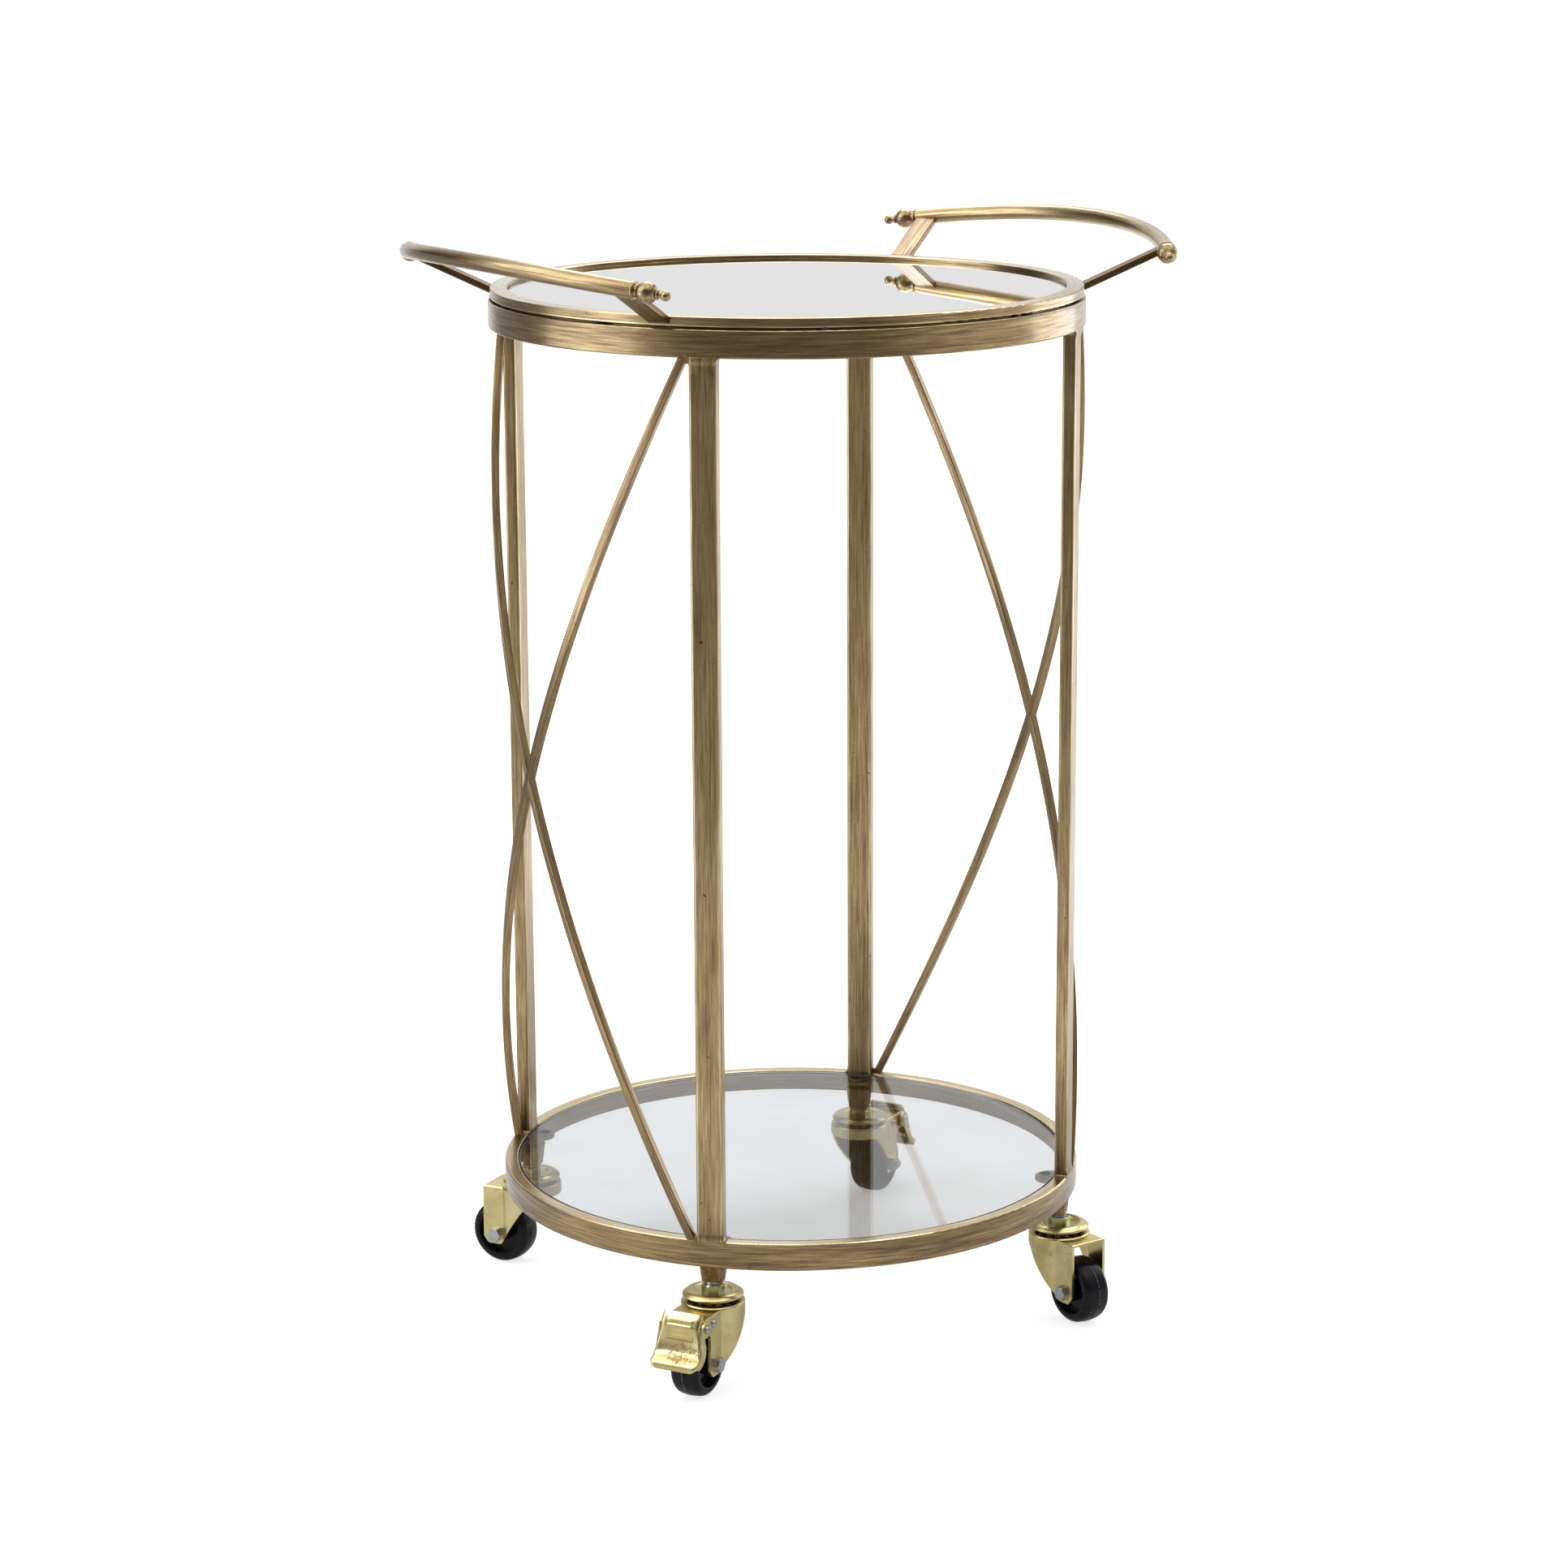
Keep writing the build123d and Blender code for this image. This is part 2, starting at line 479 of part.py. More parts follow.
def brake_pedal():
    """The foot pedal, drawn released: a flared bent plate, two side flanges and the brake shoe."""
    with BuildSketch(Plane.XZ) as bent:
        with BuildLine() as line:
            FilletPolyline(
                (46.4, 69.2), (50.8, 62.0), (52.6, 49.0), (57.8, 36.0), (63.4, 30.9),
                radius=(6, 12, 5),
            )
        trace(line.line, line_width=2.0)
    plate = Pos(0, 25, 0) * extrude(bent.sketch, 50)
    front_view = [(-PEDAL_TOP_HALF_WIDTH, 75, 0), (-PEDAL_TOP_HALF_WIDTH, 59, 20)]
    front_view += [(-PEDAL_LIP_HALF_WIDTH, 42, 12), (-PEDAL_LIP_HALF_WIDTH, 29.6, 6)]
    front_view += [(-y, z, radius) for y, z, radius in reversed(front_view)]
    plate &= Pos(40, 0, 0) * extrude(Plane.YZ * rounded_face(front_view), 40)
    for height in (59.5, 64.5):
        rib = Pos(50.6 - (height - 62) * 0.6, 0, height) * Box(2.4, 20, 1.8)
        plate += fillet(rib.edges().filter_by(Axis.Y), 0.6)
    flange_face = rounded_face([
        (37.6, 54.2, 0), (43.5, 64.5, 0), (48.6, 61.0, 3), (51.8, 52.0, 0), (53.4, 46.0, 0),
        (58.0, 36.6, 0), (55.5, 37.0, 3), (49.5, 45.5, 3), (46.0, 51.0, 3),
    ])
    inner = PEDAL_HALF_WIDTH - PEDAL_SHEET
    flanges = Part()
    for end in (-1, 1):
        low, high = sorted((end * inner, end * PEDAL_HALF_WIDTH))
        flanges += side_plate(flange_face, low, high) + across(PIVOT_TRAIL, PIVOT_Z, 6.5, low, high)
    locked = math.atan2(WHEEL_RADIUS - PIVOT_Z, CASTER_TRAIL - PIVOT_TRAIL)
    released = locked + math.radians(BRAKE_TRAVEL)
    shoe_radius = 1.5
    arm = WHEEL_CLEAR_DISTANCE - WHEEL_RADIUS - BRAKE_GAP - shoe_radius
    shoe = (PIVOT_TRAIL + arm * math.cos(released), PIVOT_Z + arm * math.sin(released))
    web = [(shoe[0], shoe[1] + shoe_radius), (shoe[0], shoe[1] - shoe_radius), (53.0, 50.0), (52.4, 54.0)]
    web_face = make_face(Polyline(*web, close=True))
    tongue = side_plate(web_face, -11, 11) + across(shoe[0], shoe[1], shoe_radius, -11, 11)
    pedal = plate + flanges + tongue
    return pedal - across(PIVOT_TRAIL, PIVOT_Z, PIVOT_RADIUS + RUNNING_CLEARANCE, -30, 30)


# --- assembly --------------------------------------------------------------
nodes = {}
angles = [corner[0] for corner in CORNERS.values()]

nodes["top_ring"] = ring(RING_RADIUS, RING_RADIUS - RING_DEPTH, TOP_RING_Z, TOP_RING_TOP, RING_EDGE)
nodes["bottom_ring"] = ring(RING_RADIUS, RING_RADIUS - RING_DEPTH, LOW_RING_Z, LOW_RING_TOP, RING_EDGE)
for name, (angle, trail, side, braked) in CORNERS.items():
    nodes["leg_" + name] = leg(angle)
for name, side_angle in (("right", 0), ("left", 180)):
    rising, falling = brace_pair(side_angle)
    nodes["brace_" + name + "_rising"] = rising
    nodes["brace_" + name + "_falling"] = falling
nodes["leg_stubs"] = Compound(children=[leg_stub(angle) for angle in angles])
nodes["shelf_tabs"] = Compound(children=[shelf_tab(angle) for angle in angles])
nodes["shelf_bumpers"] = Compound(children=[shelf_bumper(angle) for angle in angles])
nodes["glass_shelf"] = disc(GLASS_RADIUS, GLASS_TOP - GLASS_THICKNESS, GLASS_TOP, 0.8)
pad_angles = [22.5 + index * 360 / PAD_COUNT for index in range(PAD_COUNT)]
nodes["tray_pads"] = Compound(children=[tray_pad(angle) for angle in pad_angles])

pan_top = TRAY_BOTTOM + PAN_THICKNESS
nodes["tray_ring"] = tray_ring()
nodes["tray_lip"] = tray_lip()
nodes["tray_pan"] = Pos(0, 0, TRAY_BOTTOM + PAN_THICKNESS / 2) * Cylinder(TRAY_INNER_RADIUS, PAN_THICKNESS)
nodes["mirror_plate"] = disc(MIRROR_RADIUS, pan_top, pan_top + MIRROR_THICKNESS, 0.6)

grip = handle_bar()
for name, turn in (("right", TRAY_TURN), ("left", TRAY_TURN + 180)):
    place = Rot(0, 0, turn)
    nodes["handle_bar_" + name] = place * grip
    nodes["handle_brackets_" + name] = Compound(children=[place * bracket(end, grip) for end in (-1, 1)])
    nodes["finials_" + name] = Compound(children=[place * finial(end) for end in (-1, 1)])

stem_nuts = []
balls = []
for name, (angle, trail, side, braked) in CORNERS.items():
    turn = math.radians(angle)
    place = Pos(CASTER_RADIUS * math.cos(turn), CASTER_RADIUS * math.sin(turn), 0) * Rot(0, 0, trail)
    nut = hex_prism(NUT_ACROSS_FLATS, NUT_HEIGHT) - Cylinder(STEM_RADIUS, 30)
    stem_nuts.append(place * Pos(0, 0, NUT_BOTTOM) * nut)
    balls += [place * ball for ball in swivel_balls()]
    nodes["caster_stem_" + name] = place * caster_stem()
    nodes["swivel_cap_" + name] = place * swivel_cap()
    nodes["fork_" + name] = place * fork(braked)
    nodes["wheel_" + name] = place * wheel()
    nodes["axle_sleeve_" + name] = place * axle_sleeve()
    nodes["axle_bolt_" + name] = place * axle_bolt(side)
    nodes["axle_nut_" + name] = place * axle_nut(side)
    if braked:
        rivets = [rivet(PIVOT_TRAIL, PEDAL_HALF_WIDTH + 0.15), rivet(FORK_RIVET_TRAIL, FORK_HALF_WIDTH)]
        nodes["brake_rivets_" + name] = Compound(children=[place * one for one in rivets])
        nodes["brake_pedal_" + name] = place * brake_pedal()
nodes["stem_nuts"] = Compound(children=stem_nuts)
nodes["swivel_balls"] = Compound(children=balls)

os.makedirs("parts", exist_ok=True)
for name, shape in nodes.items():
    export_step(shape, "parts/" + name + ".step")
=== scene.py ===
import math

import bmesh
import bpy
from mathutils import Matrix, Vector


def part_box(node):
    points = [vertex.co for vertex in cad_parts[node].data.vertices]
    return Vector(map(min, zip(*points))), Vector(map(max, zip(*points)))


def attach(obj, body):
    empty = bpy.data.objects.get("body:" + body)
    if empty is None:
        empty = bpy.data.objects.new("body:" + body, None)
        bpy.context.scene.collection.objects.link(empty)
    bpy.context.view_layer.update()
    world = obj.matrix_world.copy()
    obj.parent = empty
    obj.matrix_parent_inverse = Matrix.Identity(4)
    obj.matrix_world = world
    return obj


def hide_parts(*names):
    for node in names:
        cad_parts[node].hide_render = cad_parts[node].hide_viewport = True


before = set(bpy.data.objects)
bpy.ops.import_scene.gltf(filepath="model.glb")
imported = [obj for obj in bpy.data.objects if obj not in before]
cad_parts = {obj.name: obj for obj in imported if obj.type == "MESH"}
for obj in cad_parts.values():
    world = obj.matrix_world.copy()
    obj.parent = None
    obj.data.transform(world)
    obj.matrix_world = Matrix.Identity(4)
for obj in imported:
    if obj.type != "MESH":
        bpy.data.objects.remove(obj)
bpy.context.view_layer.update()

# Round bar cart: the CAD nodes get their finishes here. The braces, the brake pedals and the brakes'
# rivets are modelled in more detail than in the CAD, and the welds are added. Everything is in metres, in
# the frame's own axes: +Z up, -Y the front, handles at +X and -X. A caster's own axes are: trail, the way
# its wheel trails; across, along its axle; and up.

MM = 0.001

# Corner name: (leg angle, direction the wheel trails), in degrees from +X towards +Y.
CORNERS = {
    "front_left": (225, 213.5),
    "front_right": (315, -84),
    "back_left": (135, 124),
    "back_right": (45, 30),
}
BRAKED = ("front_left", "back_right")
CASTER_RADIUS = 212 * MM
CASTER_TRAIL = 24.5 * MM
AXLE_HEIGHT = 25 * MM

RING_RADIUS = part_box("bottom_ring")[1].x
LOW_RING_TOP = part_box("bottom_ring")[1].z
TOP_RING_BOTTOM, TOP_RING_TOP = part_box("top_ring")[0].z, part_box("top_ring")[1].z
TRAY_BOTTOM, TRAY_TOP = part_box("tray_ring")[0].z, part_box("tray_ring")[1].z
LEG_FACE = 219.2 * MM         # from the cart's axis to the middle of a leg's outer face
LEG_INNER_FACE = 209.4 * MM
LEG_HALF_WIDTH = 10 * MM
BRACE_END_ANGLE = 41.27       # from the middle of a brace to its end, degrees round the cart
BRACE_TURN = 2 * math.radians(BRACE_END_ANGLE) / (TOP_RING_BOTTOM - LOW_RING_TOP)

# The tray's small turn, in degrees. Before it, the slopes of the plane of a handle's arc and of the
# brackets, in degrees, and the centre of the right handle's bend.
TRAY_TURN = 3.6
HANDLE_TILT = 12.5
BRACKET_SLOPE = 24.7
BEND_PLACE = Vector((-2.2, 0, 752.5)) * MM


# --- material trees --------------------------------------------------------
class Graph:
    """A material's node tree. Each method adds a node and returns its output socket."""

    def __init__(self, name):
        self.material = bpy.data.materials.new(name)
        self.material.use_nodes = True
        self.tree = self.material.node_tree
        self.tree.nodes.clear()
        self.cached = {}

    def add(self, kind, inputs=(), **settings):
        node = self.tree.nodes.new(kind)
        for key, value in settings.items():
            setattr(node, key, value)
        for key, value in dict(inputs).items():
            if isinstance(value, bpy.types.NodeSocket):
                self.tree.links.new(value, node.inputs[key])
            else:
                node.inputs[key].default_value = value
        return node

    def place(self):
        """The point in the part's own frame."""
        if "place" not in self.cached:
            self.cached["place"] = self.add("ShaderNodeTexCoord").outputs["Object"]
        return self.cached["place"]

    def normal(self):
        """The surface normal in the part's own frame."""
        if "normal" not in self.cached:
            self.cached["normal"] = self.add("ShaderNodeTexCoord").outputs["Normal"]
        return self.cached["normal"]

    def axis(self, vector, letter):
        return self.add("ShaderNodeSeparateXYZ", {0: vector}).outputs["XYZ".index(letter)]

    def join(self, x, y, z):
        return self.add("ShaderNodeCombineXYZ", {0: x, 1: y, 2: z}).outputs[0]

    def math(self, operation, a, b=0.0):
        return self.add("ShaderNodeMath", {0: a, 1: b}, operation=operation).outputs[0]

    def vector(self, operation, a, b=(0, 0, 0)):
        node = self.add("ShaderNodeVectorMath", {0: a, 1: b}, operation=operation)
        return node.outputs["Value" if operation in ("LENGTH", "DOT_PRODUCT") else "Vector"]

    def noise(self, vector, scale=1.0, detail=2.0, rough=0.5, fourth=None):
        inputs = {"Vector": vector, "Scale": scale, "Detail": detail, "Roughness": rough}
        if fourth is None:
            return self.add("ShaderNodeTexNoise", inputs).outputs[0]
        inputs["W"] = fourth
        return self.add("ShaderNodeTexNoise", inputs, noise_dimensions="4D").outputs[0]

    def remap(self, value, low, high, new_low=0.0, new_high=1.0, smooth=False):
        kind = "SMOOTHSTEP" if smooth else "LINEAR"
        inputs = {0: value, 1: low, 2: high, 3: new_low, 4: new_high}
        return self.add("ShaderNodeMapRange", inputs, interpolation_type=kind).outputs[0]

    def ramp(self, value, stops):
        """A colour ramp; stops is a list of (position, colour)."""
        node = self.add("ShaderNodeValToRGB", {0: value})
        while len(node.color_ramp.elements) < len(stops):
            node.color_ramp.elements.new(1.0)
        for element, (position, colour) in zip(node.color_ramp.elements, stops):
            element.position = position
            element.color = (*colour, 1)
        return node.outputs[0]

    def mix(self, factor, a, b):
        node = self.add("ShaderNodeMix", {0: factor}, data_type="RGBA")
        for key, value in ((6, a), (7, b)):
            if isinstance(value, bpy.types.NodeSocket):
                self.tree.links.new(value, node.inputs[key])
            else:
                node.inputs[key].default_value = (*value, 1)
        return node.outputs[2]

    def bump(self, height, distance, strength=1.0):
        inputs = {"Height": height, "Distance": distance, "Strength": strength}
        return self.add("ShaderNodeBump", inputs).outputs[0]

    def finish(self, **inputs):
        """Ends the tree in one Principled shader; keywords are its sockets with _ for a space."""
        renamed = {key.replace("_", " "): value for key, value in inputs.items()}
        shader = self.add("ShaderNodeBsdfPrincipled", renamed)
        self.add("ShaderNodeOutputMaterial", {0: shader.outputs[0]})
        return self.material


def sum_of(g, *values):
    """The sum of several sockets or numbers."""
    total = values[0]
    for value in values[1:]:
        total = g.math("ADD", total, value)
    return total


# --- brush directions ------------------------------------------------------
# Each returns the way the brush went, two slow coordinates along it and two fast ones across it.
SLOW = 0.025                  # a streak's width over its length


def upright_brush(g):
    """Brushed up and down, as on the legs."""
    x, y, z = (g.axis(g.place(), letter) for letter in "XYZ")
    return (0, 0, 1), (g.math("MULTIPLY", z, SLOW), 0.0), (x, y)


def ring_brush(g):
    """Brushed round the cart's axis, as on the rings."""
    x, y, z = (g.axis(g.place(), letter) for letter in "XYZ")
    radius = g.vector("LENGTH", g.join(x, y, 0.0))
    groove = g.join(g.math("MULTIPLY", y, -1.0), x, 0.0)
    return groove, (g.math("MULTIPLY", x, SLOW), g.math("MULTIPLY", y, SLOW)), (radius, z)


def brace_brush(sense):
    """Brushed along a brace; sense is 1 for one that climbs anticlockwise and -1 for the other way."""
    def brush(g):
        x, y, z = (g.axis(g.place(), letter) for letter in "XYZ")
        turn = g.math("MULTIPLY", z, -sense * BRACE_TURN)
        cosine, sine = g.math("COSINE", turn), g.math("SINE", turn)
        along = g.math("SUBTRACT", g.math("MULTIPLY", x, cosine), g.math("MULTIPLY", y, sine))
        aside = g.math("ADD", g.math("MULTIPLY", x, sine), g.math("MULTIPLY", y, cosine))
        rate = sense * BRACE_TURN
        groove = g.join(g.math("MULTIPLY", y, -rate), g.math("MULTIPLY", x, rate), 1.0)
        return groove, (g.math("MULTIPLY", z, SLOW), 0.0), (along, aside)
    return brush


def bracket_brush(g):
    """Brushed along the handle brackets, which rise straight out from the cart's axis."""
    x, y, z = (g.axis(g.place(), letter) for letter in "XYZ")
    radius = g.vector("LENGTH", g.join(x, y, 0.0))
    rise = g.math("MULTIPLY", radius, math.tan(math.radians(BRACKET_SLOPE)))
    aside = g.math("MULTIPLY", g.math("ARCTAN2", y, x), RING_RADIUS)
    return g.join(x, y, rise), (g.math("MULTIPLY", radius, SLOW), 0.0), (aside, g.math("SUBTRACT", z, rise))


def handle_brush(side):
    """Brushed along a handle's arc; side is 1 for the right handle and -1 for the left."""
    def brush(g):
        turned = Matrix.Rotation(math.radians(TRAY_TURN + (0 if side > 0 else 180)), 3, "Z")
        outward = turned @ Matrix.Rotation(-math.radians(HANDLE_TILT), 3, "Y") @ Vector((1, 0, 0))
        sideways = turned @ Vector((0, 1, 0))
        offset = g.vector("SUBTRACT", g.place(), tuple(turned @ BEND_PLACE))
        a = g.vector("DOT_PRODUCT", offset, tuple(outward))
        b = g.vector("DOT_PRODUCT", offset, tuple(sideways))
        c = g.vector("DOT_PRODUCT", offset, tuple(outward.cross(sideways)))
        radius = g.vector("LENGTH", g.join(a, b, 0.0))
        forward = g.vector("MULTIPLY", tuple(sideways), g.join(a, a, a))
        groove = g.vector("SUBTRACT", forward, g.vector("MULTIPLY", tuple(outward), g.join(b, b, b)))
        return groove, (g.math("MULTIPLY", a, SLOW), g.math("MULTIPLY", b, SLOW)), (radius, c)
    return brush


ANTIQUE_STOPS = [
    (0.0, (0.080, 0.048, 0.023)),
    (0.3, (0.205, 0.129, 0.055)),
    (0.5, (0.360, 0.238, 0.104)),
    (0.7, (0.505, 0.371, 0.176)),
    (1.0, (0.780, 0.650, 0.395)),
]


def antique_brass(name, brush, light=None, dark=None, base_tone=0.5, spread=0.6, coat=0.6):
    """Brushed antique brass: streaks along the brush, cloudy patina, optional painted highlight lines (light)
    and optional darker zones (dark) of patina and painted shade.

    spread is how far reflections blur across the brush, and coat the weight of the lacquer.
    """
    g = Graph(name)
    groove, slow, fast = brush(g)
    long_way = [g.math("MULTIPLY", value, 6.0) for value in slow]
    coarse = g.noise(g.join(slow[0], slow[1], fast[0]), 520, 3, 0.6, fourth=fast[1])
    fine = g.noise(g.join(slow[0], slow[1], fast[0]), 1400, 2, 0.6, fourth=fast[1])
    cloud = g.noise(g.join(*long_way, fast[0]), 75, 3, 0.55, fourth=fast[1])
    grain = g.noise(g.place(), 900, 2, 0.6)
    nicks = g.remap(g.noise(g.place(), 210, 1, 0.5), 0.765, 0.79, smooth=True)
    tone = sum_of(
        g,
        base_tone,
        g.remap(coarse, 0.3, 0.7, -0.15, 0.15),
        g.remap(fine, 0.3, 0.7, -0.22, 0.22),
        g.remap(cloud, 0.3, 0.7, -0.11, 0.11),
        g.remap(grain, 0.3, 0.7, -0.05, 0.05),
        g.math("MULTIPLY", nicks, -0.4),
    )
    # Painted highlight lines lighten the tone; patina with painted shade darkens it.
    if light is not None:
        tone = g.math("ADD", tone, g.math("MULTIPLY", light(g), 0.4))
    if dark is not None:
        tone = g.math("SUBTRACT", tone, g.math("MULTIPLY", dark(g), 0.4))
    colour = g.ramp(tone, ANTIQUE_STOPS)
    rough = g.remap(tone, 0.2, 1.0, 0.36, 0.22)
    streaks = g.math("ADD", g.math("MULTIPLY", coarse, 0.6), g.math("MULTIPLY", fine, 0.4))
    sideways = g.vector("CROSS_PRODUCT", g.normal(), groove)
    tangent = g.add(
        "ShaderNodeVectorTransform", {0: sideways},
        vector_type="VECTOR", convert_from="OBJECT", convert_to="WORLD",
    ).outputs[0]
    return g.finish(
        Base_Color=colour, Metallic=1.0, Roughness=rough, Anisotropic=spread, Tangent=tangent,
        Coat_Weight=coat, Coat_Roughness=0.14, Normal=g.bump(streaks, 0.00006, 0.5),
    )


def weld_brass(name):
    """Brass over a dressed weld: granular, without a brush direction, with dark pits."""
    g = Graph(name)
    grain = g.noise(g.place(), 1400, 4, 0.7)
    cloud = g.noise(g.place(), 160, 4, 0.6)
    pits = g.remap(g.noise(g.place(), 520, 3, 0.6), 0.66, 0.74, smooth=True)
    tone = sum_of(
        g,
        0.36,
        g.remap(grain, 0.3, 0.7, -0.12, 0.12),
        g.remap(cloud, 0.3, 0.7, -0.16, 0.16),
        g.math("MULTIPLY", pits, -0.35),
    )
    colour = g.ramp(tone, ANTIQUE_STOPS)
    rough = g.remap(tone, 0.1, 0.9, 0.5, 0.3)
    return g.finish(
        Base_Color=colour, Metallic=1.0, Roughness=rough, Coat_Weight=0.18, Coat_Roughness=0.25,
        Normal=g.bump(g.math("SUBTRACT", grain, g.math("MULTIPLY", pits, 0.8)), 0.00012, 0.6),
    )


def plated_gold(name, stained=None):
    """Yellow plating with faint clouds, specks and stains, and more stains where stained says."""
    g = Graph(name)
    cloud = g.noise(g.place(), 60, 4, 0.6)
    speck = g.noise(g.place(), 700, 2, 0.7)
    stain = g.remap(g.noise(g.place(), 160, 5, 0.7), 0.62, 0.76, smooth=True)
    if stained is not None:
        blotches = g.remap(g.noise(g.place(), 520, 5, 0.75), 0.46, 0.56, smooth=True)
        stain = g.math("MAXIMUM", stain, g.math("MULTIPLY", blotches, stained(g)))
    colour = g.ramp(cloud, [(0.3, (0.60, 0.48, 0.20)), (0.5, (0.72, 0.60, 0.28)), (0.7, (0.79, 0.68, 0.37))])
    colour = g.mix(g.math("MULTIPLY", stain, 0.75), colour, (0.20, 0.11, 0.04))
    dots = g.remap(speck, 0.70, 0.78, 0.0, 0.4)
    colour = g.mix(dots, colour, (0.24, 0.17, 0.08))
    rough = sum_of(g, 0.20, g.math("MULTIPLY", cloud, 0.12), g.math("MULTIPLY", stain, 0.25))
    return g.finish(
        Base_Color=colour, Metallic=1.0, Roughness=rough, Normal=g.bump(speck, 0.00003, 0.35),
    )


def zinc(name, low=(0.40, 0.41, 0.43), middle=(0.52, 0.53, 0.55), high=(0.62, 0.62, 0.60)):
    """Zinc plate with a slight bloom."""
    g = Graph(name)
    cloud = g.noise(g.place(), 260, 4, 0.6)
    scratch = g.noise(g.vector("MULTIPLY", g.place(), (1, 1, 0.12)), 1600, 2, 0.6)
    colour = g.ramp(cloud, [(0.3, low), (0.55, middle), (0.75, high)])
    rough = g.math("ADD", 0.17, g.math("MULTIPLY", cloud, 0.25))
    return g.finish(
        Base_Color=colour, Metallic=1.0, Roughness=rough, Normal=g.bump(scratch, 0.00003, 0.5),
    )


def wheel_plastic(name, corner):
    """Glossy black moulding with a mould line round the tread, dust and fine scuffs."""
    g = Graph(name)
    middle = caster_point(corner, CASTER_TRAIL, 0, AXLE_HEIGHT)
    axle = caster_point(corner, CASTER_TRAIL, 1, AXLE_HEIGHT) - middle
    offset = g.vector("SUBTRACT", g.place(), tuple(middle))
    across = g.math("ABSOLUTE", g.vector("DOT_PRODUCT", offset, tuple(axle)))
    reach = g.vector("LENGTH", offset)
    tread = g.remap(reach, 24.0 * MM, 24.8 * MM, smooth=True)
    seam = g.math("MULTIPLY", g.remap(across, 0.12 * MM, 0.32 * MM, 1.0, 0.0), tread)
    scuff = g.noise(g.place(), 900, 3, 0.65)
    dust = g.noise(g.place(), 120, 5, 0.65)
    colour = g.mix(g.remap(dust, 0.45, 0.75, 0.0, 0.35), (0.004, 0.004, 0.005), (0.012, 0.011, 0.013))
    colour = g.mix(g.math("MULTIPLY", tread, 0.35), colour, (0.012, 0.011, 0.013))
    colour = g.mix(g.remap(scuff, 0.66, 0.74, 0.0, 0.4), colour, (0.08, 0.08, 0.08))
    broken = g.math("MULTIPLY", seam, g.remap(g.noise(g.place(), 420, 2, 0.6), 0.42, 0.56))
    colour = g.mix(g.math("MULTIPLY", broken, 0.8), colour, (0.20, 0.19, 0.20))
    rough = sum_of(g, 0.10, g.math("MULTIPLY", dust, 0.12), g.math("MULTIPLY", tread, 0.08))
    height = g.math("ADD", g.math("MULTIPLY", scuff, 0.3), g.math("MULTIPLY", seam, 1.0))
    return g.finish(
        Base_Color=colour, Roughness=rough, IOR=1.5, Specular_IOR_Level=0.2,
        Normal=g.bump(height, 0.00008, 0.5),
    )


def shelf_glass(name):
    """Clear grey glass whose ground edge is dark green."""
    g = Graph(name)
    x, y = (g.axis(g.place(), letter) for letter in "XY")
    edge_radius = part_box("glass_shelf")[1].x - 0.9 * MM
    edge = g.remap(g.vector("LENGTH", g.join(x, y, 0.0)), edge_radius, edge_radius + 0.6 * MM)
    smear = g.noise(g.place(), 14, 4, 0.6)
    clear = g.ramp(smear, [(0.3, (0.57, 0.575, 0.575)), (0.7, (0.61, 0.615, 0.615))])
    colour = g.mix(edge, clear, (0.015, 0.05, 0.05))
    return g.finish(
        Base_Color=colour, Roughness=g.remap(edge, 0.0, 1.0, 0.0, 0.25), IOR=1.5, Transmission_Weight=1.0,
    )


def mirror_glass(name):
    """Silvered glass with faint smears."""
    g = Graph(name)
    smear = g.noise(g.place(), 18, 5, 0.65)
    colour = g.ramp(smear, [(0.3, (0.915, 0.915, 0.92)), (0.7, (0.94, 0.94, 0.945))])
    return g.finish(
        Base_Color=colour, Metallic=1.0, Roughness=g.remap(smear, 0.35, 0.75, 0.012, 0.035),
    )


def soft_clear(name):
    """The clear soft plastic of the shelf's bumpers."""
    g = Graph(name)
    haze = g.noise(g.place(), 300, 3, 0.6)
    colour = g.ramp(haze, [(0.3, (0.78, 0.80, 0.80)), (0.7, (0.90, 0.91, 0.91))])
    return g.finish(
        Base_Color=colour, Roughness=g.remap(haze, 0.3, 0.7, 0.12, 0.3), IOR=1.45, Transmission_Weight=0.75,
    )


def pad_rubber(name):
    """Matt black rubber."""
    g = Graph(name)
    grain = g.noise(g.place(), 900, 3, 0.7)
    colour = g.ramp(grain, [(0.3, (0.012, 0.012, 0.012)), (0.7, (0.03, 0.03, 0.03))])
    rough = g.remap(grain, 0.3, 0.7, 0.7, 0.9)
    return g.finish(Base_Color=colour, Roughness=rough, Normal=g.bump(grain, 0.0001))


# The studio's two dark directions: a wide one on the camera's side and a narrow one at the left rear.
DARK_SIDE = (-0.50, -0.866, 0)
DARK_GAP = (-0.53, 0.848, 0)
# How bright the floor glows: to the eye, in a reflection, and in a reflection where it is dark.
FLOOR_GLOW = 0.76
MIRRORED_GLOW = 0.45
DARK_GLOW = 0.09
# Distances from the cart over which reflections of the floor change.
SIDE_REACH = (0.55, 2.7)
GAP_REACH = (0.28, 0.6)
SHADE_REACH = (0.5, 1.3)
GAP_DEPTH = 0.85
SHADE_DEPTH = 0.45


